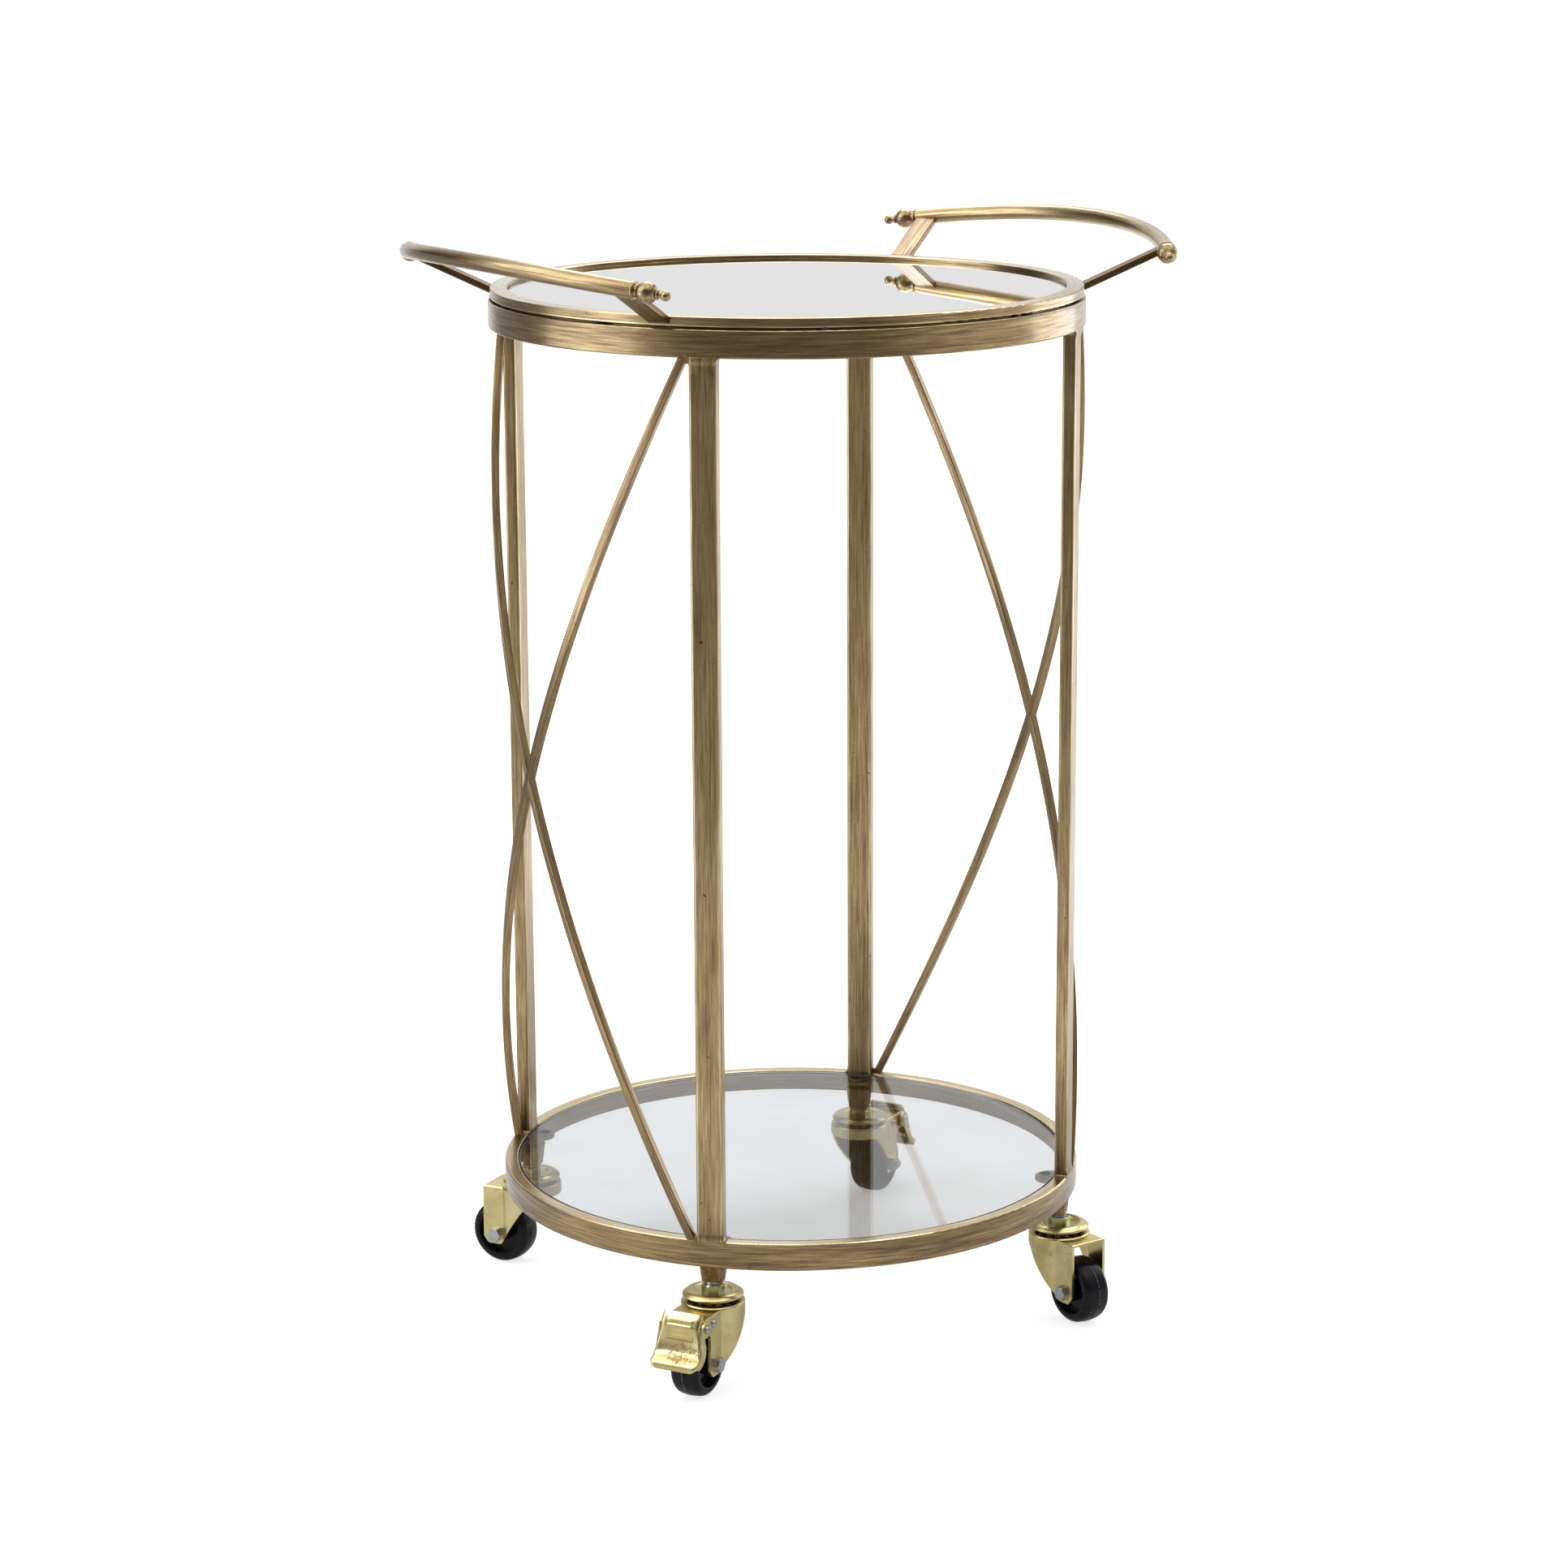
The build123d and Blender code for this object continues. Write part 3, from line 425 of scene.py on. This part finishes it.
def floor_paint(name):
    """The studio's white floor, lit from below; its darker parts show only in the metal's reflections."""
    g = Graph(name)
    cloud = g.noise(g.place(), 0.7, 3, 0.5)
    rays = g.add("ShaderNodeLightPath").outputs
    mirrored = g.math("MULTIPLY", rays["Is Glossy Ray"], g.math("SUBTRACT", 1.0, rays["Is Transmission Ray"]))
    direction = g.vector("NORMALIZE", g.place())
    distance = g.vector("LENGTH", g.place())
    facing_side = g.remap(g.vector("DOT_PRODUCT", direction, DARK_SIDE), 0.45, 0.92, smooth=True)
    side = g.math("MULTIPLY", facing_side, g.remap(distance, *SIDE_REACH, smooth=True))
    facing_gap = g.vector("DOT_PRODUCT", direction, DARK_GAP)
    facing_gap = g.remap(facing_gap, 0.74, 0.94, 0.0, GAP_DEPTH, smooth=True)
    gap = g.math("MULTIPLY", facing_gap, g.remap(distance, *GAP_REACH, smooth=True))
    shade = g.remap(distance, *SHADE_REACH, SHADE_DEPTH, 0.0, smooth=True)
    dark = g.math("MULTIPLY", g.math("MAXIMUM", g.math("MAXIMUM", side, gap), shade), mirrored)
    glow = g.mix(mirrored, (FLOOR_GLOW,) * 3, (MIRRORED_GLOW,) * 3)
    glow = g.mix(dark, glow, (DARK_GLOW,) * 3)
    colour = g.ramp(cloud, [(0.3, (0.48, 0.48, 0.48)), (0.7, (0.52, 0.52, 0.52))])
    colour = g.mix(dark, colour, (0.10, 0.10, 0.10))
    return g.finish(
        Base_Color=colour, Roughness=0.8, Specular_IOR_Level=0.1, Emission_Color=glow, Emission_Strength=1.0,
    )


# --- zones of the brass ----------------------------------------------------
def painted_highlight_bands(*heights):
    """Painted highlight lines at the given heights."""
    def zone(g):
        z = g.axis(g.place(), "Z")
        lines = [
            g.remap(g.math("ABSOLUTE", g.math("SUBTRACT", z, height)), 0.0, 1.3 * MM, 1.0, 0.0)
            for height in heights
        ]
        return sum_of(g, *lines)
    return zone


def joint_shade(g):
    """Darker just above and below the frame's joints: patina there, with painted shade under the top ring and
    over the low ring.
    """
    z = g.axis(g.place(), "Z")
    top = g.remap(z, TOP_RING_BOTTOM - 50 * MM, TOP_RING_BOTTOM, smooth=True)
    low = g.remap(z, LOW_RING_TOP + 25 * MM, LOW_RING_TOP, smooth=True)
    return g.math("MULTIPLY", g.math("ADD", top, low), 0.45)


def painted_leg_edge_highlights(angle):
    """Painted highlight lines up both edges of a leg's outer face."""
    def zone(g):
        turn = math.radians(angle)
        aside = g.vector("DOT_PRODUCT", g.place(), (-math.sin(turn), math.cos(turn), 0))
        away = g.math("ABSOLUTE", g.math("SUBTRACT", g.math("ABSOLUTE", aside), 8.6 * MM))
        return g.math("MULTIPLY", g.remap(away, 0.3 * MM, 1.1 * MM, 1.0, 0.0), 0.7)
    return zone


def spot(g, point, radii):
    """1 inside an ellipsoid about the point, 0 outside."""
    offset = g.vector("SUBTRACT", g.place(), tuple(point))
    scaled = g.vector("MULTIPLY", offset, tuple(1 / radius for radius in radii))
    return g.remap(g.vector("LENGTH", scaled), 0.7, 1.0, 1.0, 0.0, smooth=True)


def leg_shade(angle, nick):
    """The joints' patina and painted shade and, on one leg, a small nick in the outer face."""
    def zone(g):
        shade = joint_shade(g)
        if nick is None:
            return shade
        aside, height = nick
        place = Matrix.Rotation(math.radians(angle), 3, "Z") @ Vector((LEG_FACE, aside, 0))
        mark = spot(g, (place.x, place.y, height), (1.6 * MM, 1.6 * MM, 1.0 * MM))
        return g.math("ADD", shade, g.math("MULTIPLY", mark, 1.2))
    return zone


def caster_point(corner, trail, across, height):
    """A point in a caster's own axes, given in the cart's."""
    leg_angle, trail_angle = (math.radians(angle) for angle in CORNERS[corner])
    axis = Vector((CASTER_RADIUS * math.cos(leg_angle), CASTER_RADIUS * math.sin(leg_angle), 0))
    back = Vector((math.cos(trail_angle), math.sin(trail_angle), 0))
    side = Vector((-math.sin(trail_angle), math.cos(trail_angle), 0))
    return axis + back * trail + side * across + Vector((0, 0, height))


def pedal_stains(corner):
    """Stains in the crease above a brake pedal's lip."""
    def zone(g):
        z = g.axis(g.place(), "Z")
        centre = caster_point(corner, 56 * MM, 4 * MM, 42 * MM)
        return spot(g, centre, (15 * MM, 15 * MM, 9 * MM))
    return zone


# --- mesh helpers ----------------------------------------------------------
def add_piece(name, mesh, material, body, smooth_angle=35):
    """Ends a bmesh as a piece that rides on a CAD body."""
    bmesh.ops.recalc_face_normals(mesh, faces=mesh.faces)
    data = bpy.data.meshes.new(name)
    mesh.to_mesh(data)
    mesh.free()
    data.materials.append(material)
    piece = bpy.data.objects.new(name, data)
    bpy.context.scene.collection.objects.link(piece)
    data.polygons.foreach_set("use_smooth", [True] * len(data.polygons))
    data.set_sharp_from_angle(angle=math.radians(smooth_angle))
    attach(piece, body)
    return piece


def skin(mesh, rings, closed=True, capped=True):
    """Joins rows of points by faces; closed joins each row's ends, capped fills the first and last row."""
    rows = [[mesh.verts.new(point) for point in ring] for ring in rings]
    for row, after in zip(rows, rows[1:]):
        count = len(row)
        for index in range(count if closed else count - 1):
            following = (index + 1) % count
            mesh.faces.new((row[index], row[following], after[following], after[index]))
    if capped:
        mesh.faces.new(list(reversed(rows[0])))
        mesh.faces.new(rows[-1])
    return rows


def rounded_rectangle(half_a, half_b, radius, steps=4):
    """The outline of a rectangle with rounded corners, as (a, b) pairs."""
    outline = []
    for sign_a, sign_b, start in ((1, 1, 0), (-1, 1, 90), (-1, -1, 180), (1, -1, 270)):
        for step in range(steps + 1):
            turn = math.radians(start + 90 * step / steps)
            a = sign_a * (half_a - radius) + radius * math.cos(turn)
            b = sign_b * (half_b - radius) + radius * math.sin(turn)
            outline.append((a, b))
    return outline


def smooth_curve(points, steps):
    """Points along a smooth curve through the given ones."""
    ends = [points[0] * 2 - points[1]] + list(points) + [points[-1] * 2 - points[-2]]
    curve = []
    for index in range(1, len(ends) - 2):
        before, start, end, after = ends[index - 1:index + 3]
        for step in range(steps):
            t = step / steps
            blend = start * 2 + (end - before) * t
            blend += (before * 2 - start * 5 + end * 4 - after) * t ** 2
            blend += (start * 3 - before - end * 3 + after) * t ** 3
            curve.append(blend / 2)
    curve.append(points[-1].copy())
    return curve


def ease(value):
    """Smooth step from 0 to 1."""
    value = min(max(value, 0.0), 1.0)
    return value * value * (3 - 2 * value)


# --- braces ----------------------------------------------------------------
BRACE_HALF = 3 * MM
BRACE_CORNER = 0.6 * MM
LAP_STEP = 0.1 * MM           # keeps each bar's hidden face behind the other's shown face at the crossing


def brace(side, kind):
    """A square bar from ring to ring. The rising bars lie outside the falling ones where they cross."""
    sense = 1 if kind == "rising" else -1
    middle = RING_RADIUS - BRACE_HALF + (LAP_STEP if kind == "rising" else -LAP_STEP) / 2
    depth = BRACE_HALF - LAP_STEP / 2
    side_angle = 0 if side == "right" else math.pi
    end_low, end_high = LOW_RING_TOP - 0.3 * MM, TOP_RING_BOTTOM + 0.3 * MM
    half_height = (TOP_RING_BOTTOM - LOW_RING_TOP) / 2
    centre_z = LOW_RING_TOP + half_height
    margin = 2.2 * MM
    count = 120
    heights = [end_low]
    for index in range(count + 1):
        heights.append(LOW_RING_TOP + margin + (2 * half_height - 2 * margin) * index / count)
    heights.append(end_high)
    outline = rounded_rectangle(depth, BRACE_HALF, BRACE_CORNER)
    rings = []
    for z in heights:
        angle = side_angle + sense * BRACE_TURN * (z - centre_z)
        outward = Vector((math.cos(angle), math.sin(angle), 0))
        round_way = Vector((-math.sin(angle), math.cos(angle), 0))
        tangent = (round_way * middle * sense * BRACE_TURN + Vector((0, 0, 1))).normalized()
        aside = tangent.cross(outward)
        centre = outward * middle + Vector((0, 0, z))
        ring = [centre + outward * a + aside * b for a, b in outline]
        if z in (end_low, end_high):
            ring = [point + tangent * ((z - point.z) / tangent.z) for point in ring]
        rings.append(ring)
    mesh = bmesh.new()
    skin(mesh, rings)
    # The brace darkens towards both ends: patina with painted shade.
    material = antique_brass(
        f"brace_brass_{side}_{kind}", brace_brush(sense), dark=joint_shade, base_tone=0.47,
    )
    piece = add_piece(f"brace_bar_{side}_{kind}", mesh, material, "frame")
    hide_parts(f"brace_{side}_{kind}")


# --- welds -----------------------------------------------------------------
COLLAR_HEIGHT = 11 * MM
COLLAR_LAP = 2.6 * MM         # how far the collar runs onto the ring
COLLAR_PROUD = 0.03 * MM
COLLAR_FILLET = 2.4 * MM


def weld_collar(name, angle, ring_z, upward, material):
    """Dressed weld that carries a leg's faces into a ring's; upward is 1 above a ring and -1 below it."""
    turn = Matrix.Rotation(math.radians(angle), 3, "Z")
    steps = 14
    rings = []
    for index in range(steps + 1):
        height = COLLAR_HEIGHT - (COLLAR_HEIGHT + COLLAR_LAP) * (index / steps) ** 0.8
        near = max(COLLAR_FILLET - max(height, 0.0), 0.0)
        widen = COLLAR_FILLET - math.sqrt(COLLAR_FILLET ** 2 - near ** 2)
        level = ease(1 - height / (0.6 * COLLAR_HEIGHT))
        half_width = LEG_HALF_WIDTH + COLLAR_PROUD + widen
        depth = (LEG_FACE - LEG_INNER_FACE) / 2 + COLLAR_PROUD
        outline = rounded_rectangle(depth, half_width, 2 * MM * (1 - level) + 0.5 * MM * level, 5)
        ring = []
        for a, b in outline:
            x = (LEG_FACE + LEG_INNER_FACE) / 2 + a
            if a > 0:
                on_ring = math.sqrt((RING_RADIUS + COLLAR_PROUD) ** 2 - b ** 2) - (LEG_FACE + COLLAR_PROUD)
                x += on_ring * level * ease(a / depth)
            ring.append(turn @ Vector((x, b, ring_z + upward * height)))
        rings.append(ring)
    mesh = bmesh.new()
    skin(mesh, rings)
    add_piece(name, mesh, material, "frame", 60)


WEB_DEPTHS = (214.6 * MM, 219.5 * MM)  # from the cart's axis to the web's inner and outer faces
WEB_START, WEB_END = 8 * MM, 14 * MM    # across the leg's face, from its middle
WEB_SUNK = 0.4 * MM                     # how far it runs into the ring
WEB_LEAN = 0.4                          # its far side leans with the brace


def weld_web(name, angle, side, ring_z, upward, height, material):
    """Weld metal in the narrow notch between a leg and a brace's end."""
    turn = Matrix.Rotation(math.radians(angle), 3, "Z")
    corners = [
        (WEB_START, -WEB_SUNK),
        (WEB_END, -WEB_SUNK),
        (WEB_END + WEB_LEAN * height, height),
        (WEB_START, height + 0.8 * MM),
    ]
    outline = [(side * y, ring_z + upward * rise) for y, rise in corners]
    inner_depth, outer_radius = WEB_DEPTHS
    inner = [turn @ Vector((inner_depth, y, z)) for y, z in outline]
    outer = [turn @ Vector((math.sqrt(outer_radius ** 2 - y ** 2), y, z)) for y, z in outline]
    mesh = bmesh.new()
    skin(mesh, [inner, outer])
    bmesh.ops.bevel(mesh, geom=mesh.edges[:], offset=0.5 * MM, segments=2, affect="EDGES")
    add_piece(name, mesh, material, "frame", 60)


# --- brake pedals, in the caster's own axes, millimetres until placed --------
PIVOT = (43.0, 58.0)
PEDAL_CURVE = [
    (46.3, 69.5), (49.0, 65.6), (51.0, 60.5), (52.0, 54.5), (52.8, 49.0), (54.2, 43.6), (56.4, 39.9),
    (59.4, 37.8), (62.2, 35.4), (63.3, 32.6), (62.6, 30.4), (60.6, 29.8),
]
PEDAL_SHEET = 1.3
PEDAL_TOP_HALF_WIDTH = 15.6
PEDAL_FLARE = 3.7             # how much wider each half is at the lip
PEDAL_CORNER = 8.5            # rounding of the lip's corners, across the pedal
PEDAL_TAIL = 10.0             # and along it
PEDAL_BEND = 2.4              # outer radius where the sides turn back
PEDAL_DISH = 0.7
RIB_HEIGHTS = (60.6, 64.4)
RIB_HALF_LENGTH, RIB_SPREAD, RIB_LIFT = 9.8, 0.8, 0.6


def pedal_half_width(z, tail):
    """Half of the pedal's width at a height; tail runs from 0 to 1 along the lip's last stretch."""
    flare = PEDAL_TOP_HALF_WIDTH + PEDAL_FLARE * ease((61 - z) / 20)
    return flare - PEDAL_CORNER + PEDAL_CORNER * math.sqrt(max(1 - tail ** 2, 0.0))


def pedal_shell():
    """The pressed front of the pedal: dished, with two ribs, and its sides turned back."""
    curve = smooth_curve([Vector((x, 0, z)) for x, z in PEDAL_CURVE], 12)
    lengths = [0.0]
    for before, after in zip(curve, curve[1:]):
        lengths.append(lengths[-1] + (after - before).length)
    total = lengths[-1]
    mesh = bmesh.new()
    rows = []
    for index, point in enumerate(curve):
        before, after = curve[max(index - 1, 0)], curve[min(index + 1, len(curve) - 1)]
        tangent = (after - before).normalized()
        normal = Vector((-tangent.z, 0, tangent.x))
        tail = max(lengths[index] - (total - PEDAL_TAIL), 0.0) / PEDAL_TAIL
        half_width = pedal_half_width(point.z, tail)
        depth = 1.0 + 4.2 * ease((60 - point.z) / 8) - 2.0 * ease((42 - point.z) / 8)
        row = []
        flat = half_width - PEDAL_BEND
        samples = [(-1, depth, None), (-1, depth * 0.5, None)]
        for step in range(6):
            samples.append((-1, 0, step * 18))
        for step in range(1, 24):
            samples.append((0, -flat + 2 * flat * step / 24, None))
        for step in range(6):
            samples.append((1, 0, 90 - step * 18))
        samples += [(1, depth * 0.5, None), (1, depth, None)]
        for side, value, turn in samples:
            if side == 0:
                y, back = value, 0.0
                dish = PEDAL_DISH * ease((57 - point.z) / 6) * ease((point.z - 38) / 5)
                back += dish * max(1 - (y / flat) ** 2, 0.0) ** 0.7
                for rib_z in RIB_HEIGHTS:
                    swell = math.exp(-((point.z - rib_z) / RIB_SPREAD) ** 2)
                    back -= RIB_LIFT * swell * ease((RIB_HALF_LENGTH - abs(y)) / 1.2)
            elif turn is not None:
                y = side * (flat + PEDAL_BEND * math.cos(math.radians(turn)))
                back = PEDAL_BEND * (1 - math.sin(math.radians(turn)))
            else:
                y, back = side * half_width, PEDAL_BEND + value
            place = point - normal * back
            row.append(Vector((place.x, y, place.z)))
        rows.append(row)
    skin(mesh, rows, closed=False, capped=False)
    bmesh.ops.recalc_face_normals(mesh, faces=mesh.faces)
    bmesh.ops.solidify(mesh, geom=mesh.faces[:], thickness=PEDAL_SHEET)
    return mesh


PEDAL_BOSS = 6.4
CHEEK = (16.5, 18.0)          # a side cheek's inner and outer faces


def pedal_flange(mesh, low, high):
    """A flat side cheek with a round boss about the pivot."""
    outline = [(57.4, 37.6), (53.0, 46.0), (51.0, 52.5)]
    for turn in range(20, 301, 14):
        outline.append((
            PIVOT[0] + PEDAL_BOSS * math.cos(math.radians(turn)),
            PIVOT[1] + PEDAL_BOSS * math.sin(math.radians(turn)),
        ))
    outline += [(46.4, 51.2), (49.2, 46.0), (54.6, 38.4)]
    rows = [[Vector((x, y, z)) for x, z in outline] for y in (low, high)]
    made = skin(mesh, rows)
    rim = [mesh.edges.get((row[index], row[index - 1])) for row in made for index in range(len(row))]
    bmesh.ops.bevel(mesh, geom=rim, offset=0.35, segments=2, affect="EDGES")


def pedal_shoe(mesh):
    """The tongue behind the pedal."""
    reach = 11.0
    tongue = [(52.6, 54.0), (52.6, 50.2), (46.8, 45.2), (45.6, 46.6), (45.4, 48.4)]
    skin(mesh, [[Vector((x, y, z)) for x, z in tongue] for y in (-reach, reach)])


# How far behind the swivel axis the two rivets pass, and half of what each one clamps.
RIVETS = ((PIVOT[0], 18.15), (29.0, 16.0))
RIVET_PROFILE = [(1.0, -0.6), (1.05, 1.2), (1.7, 1.75), (2.4, 1.6), (2.95, 1.0), (3.1, 0.3), (3.1, 0.0)]


def brake_rivets(corner):
    """Two tubular rivets right across the fork, with rolled heads and a hole down the middle."""
    mesh = bmesh.new()
    count = 32
    for trail, grip in RIVETS:
        sections = [(radius, grip + rise) for radius, rise in RIVET_PROFILE]
        sections += [(2.4, grip - 0.3), (2.4, -grip + 0.3)]
        sections += [(radius, -grip - rise) for radius, rise in reversed(RIVET_PROFILE)]
        rings = []
        for radius, y in sections:
            ring = []
            for index in range(count):
                turn = 2 * math.pi * index / count
                place = (trail + radius * math.cos(turn), y, PIVOT[1] + radius * math.sin(turn))
                ring.append(caster_point(corner, *(value * MM for value in place)))
            rings.append(ring)
        skin(mesh, rings)
    piece = add_piece(f"tubular_rivets_{corner}", mesh, steel, f"caster_{corner}", 50)
    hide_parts(f"brake_rivets_{corner}")


def brake_pedal(corner):
    """The whole pedal, placed on its caster."""
    mesh = pedal_shell()
    near, far = CHEEK
    pedal_flange(mesh, near, far)
    pedal_flange(mesh, -far, -near)
    pedal_shoe(mesh)
    for vertex in mesh.verts:
        x, y, z = vertex.co * MM
        vertex.co = caster_point(corner, x, y, z)
    material = plated_gold(f"pedal_gold_{corner}", pedal_stains(corner))
    piece = add_piece(f"pressed_pedal_{corner}", mesh, material, f"pedal_{corner}", 50)
    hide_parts(f"brake_pedal_{corner}")


# --- finishes --------------------------------------------------------------
NICK = (-2.4 * MM, 552 * MM)  # on the front left leg: aside from its middle, and height
# The rings and the tray get painted highlight lines along their edges.
ring_brass = antique_brass("ring_brass", ring_brush, painted_highlight_bands(TOP_RING_TOP, LOW_RING_TOP), base_tone=0.44)
tray_brass = antique_brass("tray_brass", ring_brush, painted_highlight_bands(TRAY_TOP, TRAY_BOTTOM + 1.0 * MM))
welded = weld_brass("weld_brass")
turned_brass = antique_brass("turned_brass", upright_brush, base_tone=0.52)
bracket_brass = antique_brass("bracket_brass", bracket_brush, base_tone=0.25, spread=0.0, coat=0.1)
gold = plated_gold("plated_gold")
steel = zinc("zinc_steel")
greased_steel = zinc("greased_steel", (0.05, 0.05, 0.045), (0.09, 0.08, 0.07), (0.14, 0.13, 0.11))
nut_zinc = zinc("yellow_zinc", (0.34, 0.36, 0.24), (0.46, 0.48, 0.34), (0.55, 0.57, 0.44))

FINISHES = [
    (("top_ring", "bottom_ring"), ring_brass),
    (("tray_ring", "tray_lip", "tray_pan"), tray_brass),
    (("leg_stubs", "shelf_tabs", "brace_"), welded),
    (("handle_brackets",), bracket_brass),
    # The right grip's lighter tone is a painted highlight and the left grip's darker tone is painted shade;
    # both grips are one brass.
    (("handle_bar_right",), antique_brass("right_grip_brass_painted_highlight", handle_brush(1), base_tone=0.66)),
    (("handle_bar_left",), antique_brass("left_grip_brass_painted_shade", handle_brush(-1), base_tone=0.48)),
    (("finials",), turned_brass),
    (("swivel_cap", "fork", "brake_pedal"), gold),
    (("stem_nuts",), nut_zinc),
    (("caster_stem", "axle_", "brake_rivets"), steel),
    (("swivel_balls",), greased_steel),
    (("glass_shelf",), shelf_glass("clear_glass")),
    (("mirror_plate",), mirror_glass("mirror_glass")),
    (("shelf_bumpers",), soft_clear("clear_bumper")),
    (("tray_pads",), pad_rubber("rubber_pad")),
]
leg_finishes = {}
for corner, (angle, _) in CORNERS.items():
    nick = NICK if corner == "front_left" else None
    # Each leg gets painted highlight lines up its edges, and patina with painted shade at its ends.
    leg_finishes[corner] = antique_brass(
        f"leg_brass_{corner}", upright_brush, painted_leg_edge_highlights(angle), leg_shade(angle, nick), base_tone=0.55,
    )
    FINISHES.insert(0, ((f"leg_{corner}",), leg_finishes[corner]))
    FINISHES.insert(0, ((f"wheel_{corner}",), wheel_plastic(f"black_wheel_{corner}", corner)))
# Each CAD node takes the first finish whose words its name starts with.
for name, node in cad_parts.items():
    finish = next(material for starts, material in FINISHES if name.startswith(starts))
    node.material_slots[0].link = "OBJECT"
    node.material_slots[0].material = finish

for side in ("right", "left"):
    for kind in ("rising", "falling"):
        brace(side, kind)
for corner, (angle, _) in CORNERS.items():
    weld_collar(f"weld_top_{corner}", angle, TOP_RING_BOTTOM, -1, leg_finishes[corner])
    weld_collar(f"weld_low_{corner}", angle, LOW_RING_TOP, 1, leg_finishes[corner])
    brace_side = 1 if corner in ("front_right", "back_left") else -1
    weld_web(f"web_top_{corner}", angle, brace_side, TOP_RING_BOTTOM, -1, 3.5 * MM, welded)
    weld_web(f"web_low_{corner}", angle, brace_side, LOW_RING_TOP, 1, 2.2 * MM, welded)
for corner in BRAKED:
    brake_pedal(corner)
    brake_rivets(corner)


# --- studio ----------------------------------------------------------------
FLOOR_SIZE = 120.0


def studio_floor():
    bpy.ops.mesh.primitive_grid_add(x_subdivisions=4, y_subdivisions=4, size=FLOOR_SIZE)
    floor = bpy.context.object
    floor.name = "studio_floor"
    floor.data.materials.append(floor_paint("studio_floor"))


LAMP_COLOUR = (0.93, 1.0, 1.13)  # slightly cool, against the brass


def softbox(name, azimuth, distance, height, size, power, aim=(0, 0, 0.45)):
    """A soft rectangular light; azimuth is in degrees from +X towards +Y."""
    data = bpy.data.lights.new(name, "AREA")
    data.shape = "RECTANGLE"
    data.size, data.size_y = size
    data.energy = power
    data.color = LAMP_COLOUR
    lamp = bpy.data.objects.new(name, data)
    turn = math.radians(azimuth)
    lamp.location = (distance * math.cos(turn), distance * math.sin(turn), height)
    lamp.rotation_euler = (Vector(aim) - lamp.location).to_track_quat("-Z", "Y").to_euler()
    lamp.visible_camera = False
    bpy.context.scene.collection.objects.link(lamp)


# What the studio's walls send back: (direction, cosine where it starts, cosine where it is full, level).
WALL_LIGHT = 0.42
WALL_PATCHES = [
    ((0.48, 0.84, 0.25), 0.78, 0.93, 0.57),
    (DARK_SIDE, 0.40, 0.85, -0.28),
    (DARK_GAP, 0.86, 0.96, -0.34),
    ((0, 0, 1), 0.50, 0.95, 1.60),
]


def studio_world():
    """A white backdrop to the eye; to the cart, grey walls with the patches above."""
    world = bpy.data.worlds.new("studio")
    world.use_nodes = True
    tree = world.node_tree
    tree.nodes.clear()
    direction = tree.nodes.new("ShaderNodeTexCoord").outputs["Generated"]
    total = None
    for way, start, full, level in WALL_PATCHES:
        facing = tree.nodes.new("ShaderNodeVectorMath")
        facing.operation = "DOT_PRODUCT"
        facing.inputs[1].default_value = way
        tree.links.new(direction, facing.inputs[0])
        patch = tree.nodes.new("ShaderNodeMapRange")
        patch.interpolation_type = "SMOOTHSTEP"
        for index, value in enumerate((start, full, 0.0, level), start=1):
            patch.inputs[index].default_value = value
        tree.links.new(facing.outputs["Value"], patch.inputs[0])
        added = tree.nodes.new("ShaderNodeMath")
        added.operation = "ADD"
        added.inputs[0].default_value = WALL_LIGHT
        if total is not None:
            tree.links.new(total, added.inputs[0])
        tree.links.new(patch.outputs[0], added.inputs[1])
        total = added.outputs[0]
    backdrop = tree.nodes.new("ShaderNodeMix")
    backdrop.inputs["B"].default_value = 1.0
    rays = tree.nodes.new("ShaderNodeLightPath")
    tree.links.new(rays.outputs["Is Camera Ray"], backdrop.inputs["Factor"])
    tree.links.new(total, backdrop.inputs["A"])
    background = tree.nodes.new("ShaderNodeBackground")
    tree.links.new(backdrop.outputs["Result"], background.inputs["Strength"])
    output = tree.nodes.new("ShaderNodeOutputWorld")
    tree.links.new(background.outputs[0], output.inputs[0])
    bpy.context.scene.world = world


# The camera stands in front of the cart and to its left, and looks 14.6 degrees down on it.
CAMERA_PLACE = Vector((-1.511, -2.678, 1.115))
CAMERA_AIM = Vector((-0.0034, 0.0018, 0.4012))
CAMERA_ROLL = -0.27
LENS = 95.8


def studio_camera():
    data = bpy.data.cameras.new("camera")
    data.lens = LENS
    data.sensor_width = 36
    camera = bpy.data.objects.new("camera", data)
    camera.location = CAMERA_PLACE
    look = (CAMERA_AIM - CAMERA_PLACE).to_track_quat("-Z", "Y")
    camera.rotation_euler = (look.to_matrix() @ Matrix.Rotation(math.radians(CAMERA_ROLL), 3, "Z")).to_euler()
    bpy.context.scene.collection.objects.link(camera)
    bpy.context.scene.camera = camera


studio_floor()
studio_world()
studio_camera()
softbox("left_softbox", 162, 2.4, 0.9, (1.9, 2.2), 20)
softbox("right_softbox", 2, 2.4, 0.9, (1.6, 2.2), 18)
softbox("top_softbox", 50, 1.5, 2.4, (1.9, 1.1), 26)
softbox("high_left_softbox", 168, 2.0, 2.1, (1.7, 1.3), 16, (0, 0, 0.8))
bpy.context.scene.view_settings.view_transform = "Standard"
